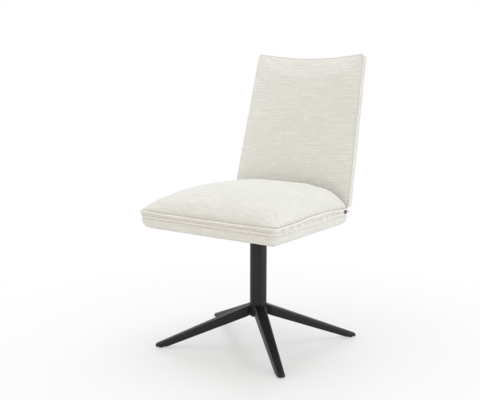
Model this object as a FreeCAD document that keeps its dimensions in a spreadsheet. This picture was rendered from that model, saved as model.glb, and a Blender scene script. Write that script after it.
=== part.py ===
"""Swivel dining chair: padded seat and back on a column with a four-legged star base.

Millimetres and degrees. X points to the sitter's left, -Y to the front, +Z up.
The origin is on the floor, on the axis of the column.
"""
import FreeCAD, Part
import math
import os
import Sketcher

Vector = FreeCAD.Vector

TOUCHING = 1e-3
SEAT_LOFT_SHARES = (0.0, 0.03, 0.06, 0.1, 0.14, 0.19, 0.25, 0.32, 0.4, 0.5, 0.62, 0.78)
BACK_LOFT_SHARES = (0.0, 0.02, 0.045, 0.075, 0.11, 0.16, 0.23, 0.32, 0.45, 0.65)

SIZES = [
    ("leg_reach", 313, "column axis to the tip of a leg"),
    ("leg_turn_a", -134.2, "direction of the front leg on the sitter's right"),
    ("leg_turn_b", -41.6, "direction of the front leg on the sitter's left"),
    ("leg_turn_c", 49.3, "direction of the rear leg on the sitter's left"),
    ("leg_turn_d", 153.7, "direction of the rear leg on the sitter's right"),
    ("leg_top_height", 123.5, "top of a leg where it meets the column"),
    ("leg_root_depth", 30, "height of a leg's side at the column"),
    ("leg_tip_depth", 6.5, "height of a leg's side at its tip"),
    ("leg_neck_width", 28, "width of a leg where it is welded to the column"),
    ("leg_root_width", 35, "width of a leg just outside the column"),
    ("leg_tip_width", 22, "width of a leg near its tip"),
    ("leg_neck_length", 12, "length over which the neck widens"),
    ("leg_edge_round", 6, "rounding of a leg's top edges"),
    ("leg_tip_round", 9.9, "plan rounding of the corners of a leg's tip"),
    ("leg_wall", 3, "sheet thickness of a leg, which is open underneath"),
    ("glide_setback", 17, "tip of a leg to its glide"),
    ("glide_height", 4, "height of a glide, which is the leg's floor clearance"),
    ("glide_diameter", 15, "diameter of a glide"),
    ("stem_diameter", 6, "diameter of a glide's stem"),
    ("stem_length", 7, "length of a glide's stem in the leg"),
    ("column_diameter", 50.8, "outer diameter of the column tube"),
    ("column_wall", 2.5, "wall of the column tube"),
    ("column_top", 344, "top end of the column tube"),
    ("column_drop", 3, "column tube below the legs"),
    ("cap_thickness", 3, "flange of the plastic cap under the column"),
    ("cap_plug_depth", 12, "plug of that cap inside the tube"),
    ("cap_plug_wall", 2, "wall of that plug"),
    ("spindle_diameter", 25, "steel spindle that carries the seat"),
    ("spindle_end", 104, "lower end of the spindle"),
    ("bush_length", 30, "length of each nylon bush in the column"),
    ("bush_flange", 3, "flange of the upper bush on the tube"),
    ("lower_bush_height", 116, "lower end of the lower bush"),
    ("running_clearance", 0.05, "radial clearance of the spindle in its bushes"),
    ("end_play", 0.3, "lift of the seat before the retaining washer stops it"),
    ("thrust_washer_thickness", 2, "acetal washer under the collar"),
    ("washer_setback", 1, "edge of that washer inside the collar's edge"),
    ("collar_diameter", 52, "collar welded on the spindle"),
    ("retaining_washer_diameter", 38, "washer under the lower bush"),
    ("retaining_washer_thickness", 2, "thickness of that washer"),
    ("circlip_diameter", 31, "outer diameter of the circlip"),
    ("circlip_thickness", 1.5, "thickness of the circlip"),
    ("groove_depth", 1, "depth of the circlip's groove"),
    ("swivel_plate_size", 160, "side of the square swivel plate"),
    ("swivel_plate_thickness", 4, "thickness of the swivel plate"),
    ("plate_corner_round", 12, "corner radius of the swivel plate"),
    ("plate_hole_spacing", 124, "distance between the plate's bolts"),
    ("plate_bolt_diameter", 8, "M8 bolts of the swivel plate"),
    ("plate_bolt_head", 5.3, "head height of those bolts"),
    ("plate_bolt_flats", 13, "head of those bolts across flats"),
    ("plate_washer_diameter", 16, "washers of those bolts"),
    ("plate_washer_thickness", 1.6, "thickness of those washers"),
    ("tee_nut_diameter", 22, "flange of a tee nut"),
    ("tee_nut_flange", 1.5, "thickness of that flange"),
    ("tee_nut_barrel", 10, "outer diameter of a tee nut's barrel"),
    ("tee_nut_length", 11, "length of that barrel in the board"),
    ("seat_front_width", 506, "width over the seam flange at the front"),
    ("seat_rear_width", 434, "width over the seam flange at the rear"),
    ("seat_front", 262, "column axis to the seat's front"),
    ("seat_rear", 171, "column axis to the seat's rear"),
    ("seat_corner_round", 24, "plan radius of the seat's corners"),
    ("seam_height", 418, "middle of the seam flange above the floor"),
    ("flange_thickness", 3, "thickness of the seam flange"),
    ("flange_projection", 4, "flange beyond the border"),
    ("flange_edge_round", 1.2, "rounding of the flange's edge"),
    ("border_wall", 4, "padded cover of the seat's box"),
    ("box_bottom", 368, "underside of the seat's box"),
    ("box_bottom_round", 18, "rounding of the box's lower edge"),
    ("box_lip", 45, "inner edge of the cover's turned-in lip, from the flange's edge"),
    ("box_lip_thickness", 3, "thickness of that lip"),
    ("welt_drop", 13, "lower seam line below the flange"),
    ("welt_thickness", 1.6, "height of that seam's welt"),
    ("welt_projection", 1.5, "welt beyond the border"),
    ("board_inset", 15, "seat board's edge from the flange's edge"),
    ("board_play", 0.5, "room round the seat board's edge"),
    ("board_lift", 6, "seat board above the box's underside"),
    ("board_thickness", 15, "plywood seat board"),
    ("frame_inset", 8.5, "seat frame's edge from the flange's edge"),
    ("frame_width", 24, "width of the seat frame's rails"),
    ("strap_width", 50, "width of a webbing strap"),
    ("strap_thickness", 2, "thickness of a webbing strap"),
    ("strap_count", 5, "number of straps across the seat"),
    ("strap_pitch", 70, "distance between straps"),
    ("strap_first", -205, "middle of the first strap"),
    ("strap_inset", 14, "strap's end from the flange's edge"),
    ("dust_cover_inset", 27, "edge of the dust cover from the flange's edge"),
    ("dust_cover_thickness", 1, "thickness of the dust cover"),
    ("dust_cover_opening", 172, "square opening round the swivel plate"),
    ("crown_height", 77, "seat cushion above the flange"),
    ("crown_inset", 1.5, "seat cushion's foot from the flange's edge"),
    ("crown_gap", 1, "seat cushion to the back"),
    ("crown_fullness", 4.3, "exponent of the seat cushion's dome"),
    ("crown_growth_ratio", 1, "growth of its corner radius for each millimetre drawn in"),
    ("round_share", 0.46, "largest corner radius of a cushion's outline, as a share of its depth"),
    ("back_height", 880, "top corners of the back above the floor"),
    ("back_foot", 155.5, "front face of the back at the seam height, behind the column axis"),
    ("back_lean", 13.55, "lean of the back"),
    ("back_gap", 5, "lower edge of the back above the seam height, along the back"),
    ("back_top_width", 391, "width of the back at its top corners"),
    ("back_bottom_width", 433, "width of the back at the seam height"),
    ("back_thickness", 22.5, "thickness of the back at its edges"),
    ("back_dip", 14, "dip of the back's top edge"),
    ("back_corner_round", 10, "corner radius of the back"),
    ("back_edge_round", 4, "rounding of the back's rear edges"),
    ("back_crown", 12, "front cushion of the back beyond its seam"),
    ("back_fullness", 5, "exponent of that cushion's dome"),
    ("back_growth_ratio", 0.3, "growth of its corner radius for each millimetre drawn in"),
    ("piping_width", 2.5, "piping beyond the back's side"),
    ("piping_thickness", 3.6, "thickness of that piping"),
    ("piping_edge_slope", 1.1, "sloped edges of that piping"),
    ("panel_inset", 22, "back panel's edge from the back's edge"),
    ("panel_thickness", 9, "plywood back panel"),
    ("bracket_width", 30, "width of a back bracket"),
    ("bracket_thickness", 6, "thickness of a back bracket"),
    ("bracket_spacing", 230, "distance between the two brackets"),
    ("bracket_reach", 200, "bracket above the seam height, along the back"),
    ("bracket_foot", 64, "length of the bracket's foot on the seat board"),
    ("bracket_bend", 8, "inner bend radius of the bracket"),
    ("bracket_clearance", 0.3, "clearance round the brackets"),
    ("screw_diameter", 6, "M6 screws of the brackets"),
    ("screw_head_diameter", 12, "heads of those screws"),
    ("screw_head_height", 3, "height of those heads"),
    ("screw_low", 70, "lower panel screw above the seam height"),
    ("screw_high", 160, "upper panel screw above the seam height"),
    ("foot_hole_first", 14, "first foot bolt from the foot's front end"),
    ("foot_hole_pitch", 18, "distance between the foot bolts"),
    ("foot_nut_height", 5, "nuts under the seat board"),
    ("foot_nut_flats", 10, "those nuts across flats"),
    ("zip_length", 370, "length of the cover's zip along the seat's side"),
    ("zip_rear", 146, "rear end of the zip behind the column axis"),
    ("tape_width", 10.8, "visible width of the zip's tape"),
    ("tape_thickness", 0.8, "thickness of that tape"),
    ("chain_width", 5, "width of the zip's chain"),
    ("chain_thickness", 1.4, "thickness of that chain"),
    ("stop_length", 2.2, "length of a zip stop"),
    ("slider_length", 9, "length of the zip's slider"),
    ("slider_width", 10, "width of that slider"),
    ("slider_plate", 1.6, "thickness of the slider's plate"),
    ("slider_clearance", 0.3, "clearance of the slider on chain and tape"),
    ("ear_height", 3.2, "ears of the slider above its plate"),
    ("ear_thickness", 1, "thickness of an ear"),
    ("ear_length", 3.4, "length of an ear"),
    ("pin_diameter", 1.2, "pin of the pull"),
    ("pull_length", 15, "length of the pull"),
    ("pull_width", 4.6, "width of the pull"),
    ("pull_thickness", 1.3, "thickness of the pull"),
    ("pull_clearance", 0.08, "radial clearance of the pull on its pin"),
]

PLACES = [
    ("column_radius", "Sizes.column_diameter / 2"),
    ("column_bore", "Sizes.column_diameter / 2 - Sizes.column_wall"),
    ("column_foot", "Sizes.leg_top_height - Sizes.leg_root_depth - Sizes.column_drop"),
    ("leg_inner_end", "Sizes.column_diameter / 4"),
    ("leg_flare_end", "Sizes.column_diameter / 2 + Sizes.leg_neck_length"),
    ("leg_flat_start", "Sizes.leg_reach - 2 * Sizes.glide_setback"),
    ("leg_tip_top", "Sizes.glide_height + Sizes.leg_tip_depth"),
    ("leg_top_slope", "(Sizes.leg_top_height - leg_tip_top) / (Sizes.leg_reach - column_radius)"),
    ("leg_underside_slope",
     "(Sizes.leg_top_height - Sizes.leg_root_depth - Sizes.glide_height) / (leg_flat_start - column_radius)"),
    ("leg_side_slope",
     "(Sizes.leg_root_width - Sizes.leg_tip_width) / 2 / (Sizes.leg_reach - leg_flare_end)"),
    ("glide_radius_place", "Sizes.leg_reach - Sizes.glide_setback"),
    ("spindle_radius", "Sizes.spindle_diameter / 2"),
    ("bush_bore", "Sizes.spindle_diameter / 2 + Sizes.running_clearance"),
    ("bush_top", "Sizes.column_top + Sizes.bush_flange"),
    ("collar_bottom", "bush_top + Sizes.thrust_washer_thickness"),
    ("board_bottom", "Sizes.box_bottom + Sizes.board_lift"),
    ("board_top", "board_bottom + Sizes.board_thickness"),
    ("plate_bottom", "board_bottom - Sizes.swivel_plate_thickness"),
    ("plate_hole_half", "Sizes.plate_hole_spacing / 2"),
    ("retaining_washer_bottom",
     "Sizes.lower_bush_height - Sizes.end_play - Sizes.retaining_washer_thickness"),
    ("circlip_bottom", "retaining_washer_bottom - Sizes.circlip_thickness"),
    ("flange_bottom", "Sizes.seam_height - Sizes.flange_thickness / 2"),
    ("flange_top", "Sizes.seam_height + Sizes.flange_thickness / 2"),
    ("frame_top", "flange_top - Sizes.strap_thickness"),
    ("cavity_inset", "Sizes.flange_projection + Sizes.border_wall"),
    ("frame_inner_inset", "Sizes.frame_inset + Sizes.frame_width"),
    ("side_taper",
     "(Sizes.seat_front_width - Sizes.seat_rear_width) / 2 / (Sizes.seat_front + Sizes.seat_rear)"),
    ("side_secant", "sqrt(1 + side_taper * side_taper)"),
    ("back_length", "(Sizes.back_height - Sizes.seam_height) / cos(Sizes.back_lean * 1deg)"),
    ("back_taper", "(Sizes.back_bottom_width - Sizes.back_top_width) / 2 / back_length"),
    ("panel_front", "Sizes.bracket_thickness + Sizes.bracket_clearance / 2"),
    ("panel_rear", "panel_front + Sizes.panel_thickness"),
    ("bracket_half", "Sizes.bracket_spacing / 2"),
    ("foot_top", "board_top + Sizes.bracket_thickness"),
    ("foot_rear", "Sizes.back_foot - (Sizes.seam_height - board_top) * tan(Sizes.back_lean * 1deg)"),
    ("foot_front", "foot_rear - Sizes.bracket_foot"),
    ("welt_top", "flange_bottom - Sizes.welt_drop + Sizes.welt_thickness / 2"),
    ("zip_height", "(flange_bottom + welt_top) / 2"),
    ("zip_wall",
     "Sizes.seat_rear_width / 2 + (Sizes.seat_rear - Sizes.zip_rear) * side_taper"
     " - Sizes.flange_projection * side_secant"),
    ("zip_turn", "atan(side_taper) / 1deg - 90"),
    ("slider_start", "2 * Sizes.stop_length"),
    ("slider_floor", "Sizes.tape_thickness + Sizes.slider_clearance"),
    ("slider_ceiling", "Sizes.tape_thickness + Sizes.chain_thickness + Sizes.slider_clearance"),
    ("slider_top", "slider_ceiling + Sizes.slider_plate"),
    ("pin_out", "slider_top + Sizes.ear_height - Sizes.ear_length / 2"),
    ("pin_along", "slider_start + Sizes.slider_length / 2"),
]


def fill_sheet(sheet, rows, formula):
    """Write one row per size: its name, its number or formula, and a note where it has one."""
    for number, row in enumerate(rows, start=1):
        sheet.set("A%d" % number, row[0])
        sheet.set("B%d" % number, ("=" if formula else "") + str(row[1]))
        sheet.setAlias("B%d" % number, row[0])
        if len(row) > 2:
            sheet.set("C%d" % number, row[2])


doc = FreeCAD.newDocument("SwivelChair")
sizes = doc.addObject("Spreadsheet::Sheet", "Sizes")
fill_sheet(sizes, SIZES, formula=False)
places = doc.addObject("Spreadsheet::Sheet", "Places")
fill_sheet(places, PLACES, formula=True)
doc.recompute()

NODES = []


def size(name):
    """A driving dimension as a number."""
    return float(sizes.get(name))


def place(name):
    """A derived dimension as a number."""
    return float(places.get(name))


def node(part, label):
    """Give a finished sub-part its name and list it for export."""
    part.Label = label
    NODES.append(part)
    return part


def bind(part, **expressions):
    """Bind properties to cells; a double underscore stands for the dot in a property's path."""
    for path, expression in expressions.items():
        part.setExpression(path.replace("__", "."), expression)
    return part


def move(part, x="0", y="0", z="0"):
    """Bind a part's position."""
    return bind(part, Placement__Base__x=x, Placement__Base__y=y, Placement__Base__z=z)


def new_body(name):
    return doc.addObject("PartDesign::Body", name)


def new_sketch(body, name, role="XY_Plane", height=None):
    """A sketch on one of the body's own planes, at a bound distance along its normal."""
    plane = [item for item in body.Origin.OriginFeatures if item.Role == role][0]
    sketch = body.newObject("Sketcher::SketchObject", name)
    sketch.AttachmentSupport = (plane, [""])
    sketch.MapMode = "FlatFace"
    if height is not None:
        sketch.setExpression("AttachmentOffset.Base.z", height)
    return sketch


def draw_polygon(sketch, corners):
    """Closed outline whose corners are bound to expressions."""
    count = len(corners)
    start = sketch.GeometryCount
    rough = [Vector(10 * math.cos(2 * math.pi * i / count), 10 * math.sin(2 * math.pi * i / count), 0)
             for i in range(count)]
    for i in range(count):
        sketch.addGeometry(Part.LineSegment(rough[i], rough[(i + 1) % count]), False)
    for i in range(count):
        sketch.addConstraint(Sketcher.Constraint("Coincident", start + i, 2, start + (i + 1) % count, 1))
    for i, (across, up) in enumerate(corners):
        for kind, value, expression in (("DistanceX", rough[i].x, across), ("DistanceY", rough[i].y, up)):
            index = sketch.addConstraint(Sketcher.Constraint(kind, -1, 1, start + i, 1, value))
            sketch.setExpression("Constraints[%d]" % index, expression)
    return sketch


def draw_circle(sketch, across, up, radius):
    """Circle whose centre and radius are bound to expressions."""
    index = sketch.addGeometry(Part.Circle(Vector(5, 5, 0), Vector(0, 0, 1), 2), False)
    for kind, expression in (("DistanceX", across), ("DistanceY", up)):
        number = sketch.addConstraint(Sketcher.Constraint(kind, -1, 1, index, 3, 5))
        sketch.setExpression("Constraints[%d]" % number, expression)
    number = sketch.addConstraint(Sketcher.Constraint("Radius", index, 2))
    sketch.setExpression("Constraints[%d]" % number, radius)
    return sketch


def pad(body, sketch, length, both_ways=False):
    feature = body.newObject("PartDesign::Pad", "Pad")
    feature.Profile = sketch
    feature.Midplane = both_ways
    feature.setExpression("Length", length)
    doc.recompute()
    return feature


def pocket(body, sketch, length=None, both_ways=False, upward=False):
    """Cut a sketch's outline, all the way through where no length is given."""
    feature = body.newObject("PartDesign::Pocket", "Pocket")
    feature.Profile = sketch
    if length is None:
        feature.Type = "ThroughAll"
        feature.Midplane = True
    else:
        feature.Midplane = both_ways
        feature.Reversed = upward
        feature.setExpression("Length", length)
    doc.recompute()
    return feature


def revolve(body, sketch):
    feature = body.newObject("PartDesign::Revolution", "Revolution")
    feature.Profile = sketch
    feature.ReferenceAxis = (sketch, ["V_Axis"])
    feature.Angle = 360
    doc.recompute()
    return feature


def round_edges(body, feature, radius, wanted):
    """Fillet the edges of a feature that pass a geometric test."""
    names = ["Edge%d" % (i + 1) for i, edge in enumerate(feature.Shape.Edges) if wanted(edge)]
    fillet = body.newObject("PartDesign::Fillet", "Fillet")
    fillet.Base = (feature, names)
    fillet.setExpression("Radius", radius)
    doc.recompute()
    return fillet


def is_upright(edge):
    """True for a straight edge along Z."""
    ends = [vertex.Point for vertex in edge.Vertexes]
    return len(ends) == 2 and math.hypot(ends[0].x - ends[1].x, ends[0].y - ends[1].y) < TOUCHING


def at_height(height):
    """Test for edges that lie in a level plane."""
    def wanted(edge):
        return all(abs(vertex.Point.z - height) < TOUCHING for vertex in edge.Vertexes)
    return wanted


def turned(name, profile):
    """A turned piece: its half section, revolved about the column's axis."""
    body = new_body(name)
    revolve(body, draw_polygon(new_sketch(body, name + "_section", "XZ_Plane"), profile))
    return body


def ring_profile(inner, outer, bottom, top):
    return [(inner, bottom), (outer, bottom), (outer, top), (inner, top)]


def cut(name, base, *tools):
    """Boolean cut, with several tools joined first."""
    tool = tools[0]
    if len(tools) > 1:
        tool = doc.addObject("Part::MultiFuse", name + "_tools")
        tool.Shapes = list(tools)
    result = doc.addObject("Part::Cut", name)
    result.Base = base
    result.Tool = tool
    return result


def group(name, members):
    """Several alike solids as one sub-part."""
    result = doc.addObject("Part::Compound", name)
    result.Links = members
    return result


def rod(name, radius, length, x, y, z):
    part = bind(doc.addObject("Part::Cylinder", name), Radius=radius, Height=length)
    return move(part, x, y, z)


def block(name, length, width, height, x, y, z):
    part = bind(doc.addObject("Part::Box", name), Length=length, Width=width, Height=height)
    return move(part, x, y, z)


def hexagon(name, flats, height, x, y, z):
    part = doc.addObject("Part::Prism", name)
    part.Polygon = 6
    bind(part, Circumradius="%s / sqrt(3)" % flats, Height=height)
    return move(part, x, y, z)


def fuse(name, *members):
    result = doc.addObject("Part::MultiFuse", name)
    result.Shapes = list(members)
    return result


def plan_corners(inset):
    """Corners of the seat's tapering plan, drawn in by an inset from the flange's edge."""
    rear = "Sizes.seat_rear_width / 2 + ({0}) * (Places.side_taper - Places.side_secant)".format(inset)
    front = ("Sizes.seat_rear_width / 2 + (Sizes.seat_rear + Sizes.seat_front - ({0})) * Places.side_taper"
             " - ({0}) * Places.side_secant").format(inset)
    low = "-Sizes.seat_front + ({0})".format(inset)
    high = "Sizes.seat_rear - ({0})".format(inset)
    return [("-({0})".format(front), low), (front, low), (rear, high), ("-({0})".format(rear), high)]


def plan_block(name, inset, bottom, top, edge_round=None, edge_heights=()):
    """A level slab with the seat's plan and rounded corners."""
    body = new_body(name)
    sketch = draw_polygon(new_sketch(body, name + "_plan", height=bottom), plan_corners(inset))
    slab = pad(body, sketch, "({0}) - ({1})".format(top, bottom))
    slab = round_edges(body, slab, "max(Sizes.seat_corner_round - ({0}); 2)".format(inset), is_upright)
    for height in edge_heights:
        slab = round_edges(body, slab, edge_round, at_height(height))
    return body


def bush_and_column():
    tube = turned("column_tube", ring_profile(
        "Places.column_bore", "Places.column_radius", "Places.column_foot", "Sizes.column_top"))
    node(tube, "column_tube")

    cap = turned("column_end_cap", [
        ("0", "Places.column_foot - Sizes.cap_thickness"),
        ("Places.column_radius", "Places.column_foot - Sizes.cap_thickness"),
        ("Places.column_radius", "Places.column_foot"),
        ("Places.column_bore", "Places.column_foot"),
        ("Places.column_bore", "Places.column_foot + Sizes.cap_plug_depth"),
        ("Places.column_bore - Sizes.cap_plug_wall", "Places.column_foot + Sizes.cap_plug_depth"),
        ("Places.column_bore - Sizes.cap_plug_wall", "Places.column_foot"),
        ("0", "Places.column_foot")])
    node(cap, "column_end_cap")

    upper = turned("upper_bush", [
        ("Places.bush_bore", "Sizes.column_top - Sizes.bush_length"),
        ("Places.column_bore", "Sizes.column_top - Sizes.bush_length"),
        ("Places.column_bore", "Sizes.column_top"),
        ("Places.column_radius", "Sizes.column_top"),
        ("Places.column_radius", "Places.bush_top"),
        ("Places.bush_bore", "Places.bush_top")])
    node(upper, "upper_bush")

    lower = turned("lower_bush", ring_profile(
        "Places.bush_bore", "Places.column_bore",
        "Sizes.lower_bush_height", "Sizes.lower_bush_height + Sizes.bush_length"))
    node(lower, "lower_bush")

    washer = turned("thrust_washer", ring_profile(
        "Places.bush_bore", "Sizes.collar_diameter / 2 - Sizes.washer_setback",
        "Places.bush_top", "Places.collar_bottom"))
    node(washer, "thrust_washer")


def leg_shell(name, wall):
    """Outer form of a leg along +X, or with a wall given, the hollow under it."""
    body = new_body(name)
    thick = "Sizes.leg_wall" if wall else "0"
    start = "Places.leg_flare_end" if wall else "Places.leg_inner_end"
    end = "Places.leg_flat_start" if wall else "Sizes.leg_reach"
    neck = "Sizes.leg_neck_width / 2 - " + thick
    root = "Sizes.leg_root_width / 2 - " + thick
    tip = "{0} - (({1}) - Places.leg_flare_end) * Places.leg_side_slope".format(root, end)
    half = [(start, root)] if wall else [
        (start, neck), ("Places.column_radius", neck), ("Places.leg_flare_end", root)]
    half.append((end, tip))
    outline = half + [(x, "-({0})".format(y)) for x, y in reversed(half)]
    plan = draw_polygon(new_sketch(body, name + "_plan"), outline)
    top = "Sizes.leg_top_height + Sizes.column_diameter"
    pad(body, plan, top)

    def side_line(x, height, slope):
        return "{0} + (Places.column_radius - ({1})) * {2}".format(height, x, slope)

    upper = "Sizes.leg_top_height - " + thick
    waste = new_sketch(body, name + "_top", "XZ_Plane")
    draw_polygon(waste, [(start, side_line(start, upper, "Places.leg_top_slope")),
                         (end, side_line(end, upper, "Places.leg_top_slope")), (end, top), (start, top)])
    pocket(body, waste)
    if wall:
        return body

    lower = side_line(start, "Sizes.leg_top_height - Sizes.leg_root_depth", "Places.leg_underside_slope")
    under = new_sketch(body, name + "_underside", "XZ_Plane")
    draw_polygon(under, [(start, "0"), (end, "0"), (end, "Sizes.glide_height"),
                         ("Places.leg_flat_start", "Sizes.glide_height"), (start, lower)])
    pocket(body, under)
    cope = draw_circle(new_sketch(body, name + "_cope"), "0", "0", "Places.column_radius")
    pocket(body, cope)
    stem = new_sketch(body, name + "_stem")
    draw_circle(stem, "Places.glide_radius_place", "0", "Sizes.stem_diameter / 2")
    shaped = pocket(body, stem, "Sizes.glide_height + Sizes.stem_length", upward=True)

    reach = size("leg_reach")
    shaped = round_edges(body, shaped, "Sizes.leg_tip_round",
                         lambda edge: is_upright(edge) and edge.Vertexes[0].Point.x > reach - TOUCHING)
    top_height = size("leg_top_height")
    slope = place("leg_top_slope")
    radius = place("column_radius")
    flare = place("leg_flare_end")

    def on_top(edge):
        ends = [vertex.Point for vertex in edge.Vertexes]
        return len(ends) == 2 and all(
            abs(p.z - top_height - (radius - p.x) * slope) < TOUCHING and p.x > flare - TOUCHING
            for p in ends)

    round_edges(body, shaped, "Sizes.leg_edge_round", on_top)
    return body


def legs_and_glides():
    glides = []
    for letter in "abcd":
        turn = "Sizes.leg_turn_" + letter
        leg = cut("leg_" + letter, leg_shell("leg_%s_outer" % letter, wall=False),
                  leg_shell("leg_%s_hollow" % letter, wall=True))
        leg.Placement = FreeCAD.Placement(Vector(0, 0, 0), FreeCAD.Rotation(Vector(0, 0, 1), 1))
        bind(leg, Placement__Rotation__Angle=turn)
        node(leg, "leg_" + letter)

        x = "Places.glide_radius_place * cos(%s * 1deg)" % turn
        y = "Places.glide_radius_place * sin(%s * 1deg)" % turn
        foot = rod("glide_foot_" + letter, "Sizes.glide_diameter / 2", "Sizes.glide_height", x, y, "0")
        stem = rod("glide_stem_" + letter, "Sizes.stem_diameter / 2",
                   "Sizes.glide_height + Sizes.stem_length", x, y, "0")
        glides.append(fuse("glide_" + letter, foot, stem))
    node(group("glides", glides), "glides")


def spindle_and_plate():
    groove = "Places.spindle_radius - Sizes.groove_depth"
    spindle = turned("spindle", [
        ("0", "Sizes.spindle_end"),
        ("Places.spindle_radius", "Sizes.spindle_end"),
        ("Places.spindle_radius", "Places.circlip_bottom"),
        (groove, "Places.circlip_bottom"),
        (groove, "Places.retaining_washer_bottom"),
        ("Places.spindle_radius", "Places.retaining_washer_bottom"),
        ("Places.spindle_radius", "Places.plate_bottom"),
        ("0", "Places.plate_bottom")])
    node(spindle, "spindle")
    circlip = turned("circlip", ring_profile(
        groove, "Sizes.circlip_diameter / 2", "Places.circlip_bottom", "Places.retaining_washer_bottom"))
    node(circlip, "circlip")
    washer = turned("retaining_washer", ring_profile(
        "Places.spindle_radius", "Sizes.retaining_washer_diameter / 2", "Places.retaining_washer_bottom",
        "Places.retaining_washer_bottom + Sizes.retaining_washer_thickness"))
    node(washer, "retaining_washer")
    collar = turned("spindle_collar", ring_profile(
        "Places.spindle_radius", "Sizes.collar_diameter / 2", "Places.collar_bottom", "Places.plate_bottom"))
    node(collar, "spindle_collar")

    plate = new_body("swivel_plate")
    half = "Sizes.swivel_plate_size / 2"
    minus = "-Sizes.swivel_plate_size / 2"
    outline = draw_polygon(new_sketch(plate, "plate_outline", height="Places.plate_bottom"),
                           [(minus, minus), (half, minus), (half, half), (minus, half)])
    sheet = pad(plate, outline, "Sizes.swivel_plate_thickness")
    round_edges(plate, sheet, "Sizes.plate_corner_round", is_upright)
    holes = new_sketch(plate, "plate_holes", height="Places.plate_bottom")
    for x, y in plate_hole_places():
        draw_circle(holes, x, y, "Sizes.plate_bolt_diameter / 2")
    pocket(plate, holes)
    node(plate, "swivel_plate")


def plate_hole_places():
    return [(across + "Places.plate_hole_half", along + "Places.plate_hole_half")
            for across in ("", "-") for along in ("", "-")]


def plate_fasteners():
    bolts, washers, nuts = [], [], []
    bolt_radius = "Sizes.plate_bolt_diameter / 2"
    washer_bottom = "Places.plate_bottom - Sizes.plate_washer_thickness"
    barrel_bottom = "Places.board_top - Sizes.tee_nut_length"
    for number, (x, y) in enumerate(plate_hole_places()):
        tag = "_%d" % number
        head = hexagon("plate_bolt_head" + tag, "Sizes.plate_bolt_flats", "Sizes.plate_bolt_head",
                       x, y, washer_bottom + " - Sizes.plate_bolt_head")
        shank = rod("plate_bolt_shank" + tag, bolt_radius,
                    "Places.board_top - (%s)" % washer_bottom, x, y, washer_bottom)
        bolts.append(fuse("plate_bolt" + tag, head, shank))
        disc = rod("plate_washer_disc" + tag, "Sizes.plate_washer_diameter / 2",
                   "Sizes.plate_washer_thickness", x, y, washer_bottom)
        hole = rod("plate_washer_hole" + tag, bolt_radius,
                   "Sizes.plate_washer_thickness", x, y, washer_bottom)
        washers.append(cut("plate_washer" + tag, disc, hole))
        flange = rod("tee_nut_flange" + tag, "Sizes.tee_nut_diameter / 2", "Sizes.tee_nut_flange",
                     x, y, "Places.board_top")
        barrel = rod("tee_nut_barrel" + tag, "Sizes.tee_nut_barrel / 2", "Sizes.tee_nut_length",
                     x, y, barrel_bottom)
        bore = rod("tee_nut_bore" + tag, bolt_radius,
                   "Sizes.tee_nut_length + Sizes.tee_nut_flange", x, y, barrel_bottom)
        nuts.append(cut("tee_nut" + tag, fuse("tee_nut_blank" + tag, flange, barrel), bore))
    node(group("plate_bolts", bolts), "plate_bolts")
    node(group("plate_washers", washers), "plate_washers")
    node(group("tee_nuts", nuts), "tee_nuts")


def foot_hole_places():
    """Bolts of both bracket feet through the seat board."""
    return [(sign + "Places.bracket_half",
             "Places.foot_front + Sizes.foot_hole_first + %d * Sizes.foot_hole_pitch" % row)
            for sign in ("", "-") for row in (0, 1)]


def seat_box():
    board = plan_block("seat_board", "Sizes.board_inset", "Places.board_bottom", "Places.board_top")
    holes = new_sketch(board, "board_holes", height="Places.board_top")
    for x, y in plate_hole_places():
        draw_circle(holes, x, y, "Sizes.tee_nut_barrel / 2")
    for x, y in foot_hole_places():
        draw_circle(holes, x, y, "Sizes.screw_diameter / 2")
    pocket(board, holes)
    node(board, "seat_board")

    ring = plan_block("frame_outer", "Sizes.frame_inset", "Places.board_top", "Places.frame_top")
    hollow = plan_block("frame_hollow", "Places.frame_inner_inset", "Places.board_top", "Places.frame_top")
    slot_width = "Sizes.bracket_width + 2 * Sizes.bracket_clearance"
    slots = []
    for name, sign in (("left", ""), ("right", "-")):
        x = "{0}Places.bracket_half - ({1}) / 2".format(sign, slot_width)
        slots.append(block("frame_slot_" + name, slot_width, "Sizes.seat_rear",
                           "Places.frame_top - Places.board_top", x,
                           "Places.foot_rear - Sizes.bracket_bend", "Places.board_top"))
        slots.append(block("frame_notch_" + name, slot_width, "Sizes.bracket_foot + 2 * Sizes.bracket_bend",
                           "Sizes.bracket_thickness + Sizes.bracket_clearance", x,
                           "Places.foot_front - Sizes.bracket_bend", "Places.board_top"))
    node(cut("seat_frame", ring, hollow, *slots), "seat_frame")

    straps = []
    for row in range(round(size("strap_count"))):
        middle = "(Sizes.strap_first + %d * Sizes.strap_pitch)" % row
        rear_edge = "(Sizes.seat_rear - {0} - Sizes.strap_width / 2)".format(middle)
        reach = "(Sizes.seat_rear_width / 2 + {0} * Places.side_taper - Sizes.strap_inset)".format(rear_edge)
        straps.append(block("strap_%d" % row, "2 * " + reach, "Sizes.strap_width", "Sizes.strap_thickness",
                            "-" + reach, middle + " - Sizes.strap_width / 2", "Places.frame_top"))
    node(group("webbing_straps", straps), "webbing_straps")

    cover = plan_block("dust_cover_sheet", "Sizes.dust_cover_inset",
                       "Sizes.box_bottom - Sizes.dust_cover_thickness", "Sizes.box_bottom")
    opening = block("dust_cover_hole", "Sizes.dust_cover_opening", "Sizes.dust_cover_opening",
                    "3 * Sizes.dust_cover_thickness", "-Sizes.dust_cover_opening / 2",
                    "-Sizes.dust_cover_opening / 2", "Sizes.box_bottom - 2 * Sizes.dust_cover_thickness")
    node(cut("dust_cover", cover, opening), "dust_cover")


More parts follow.
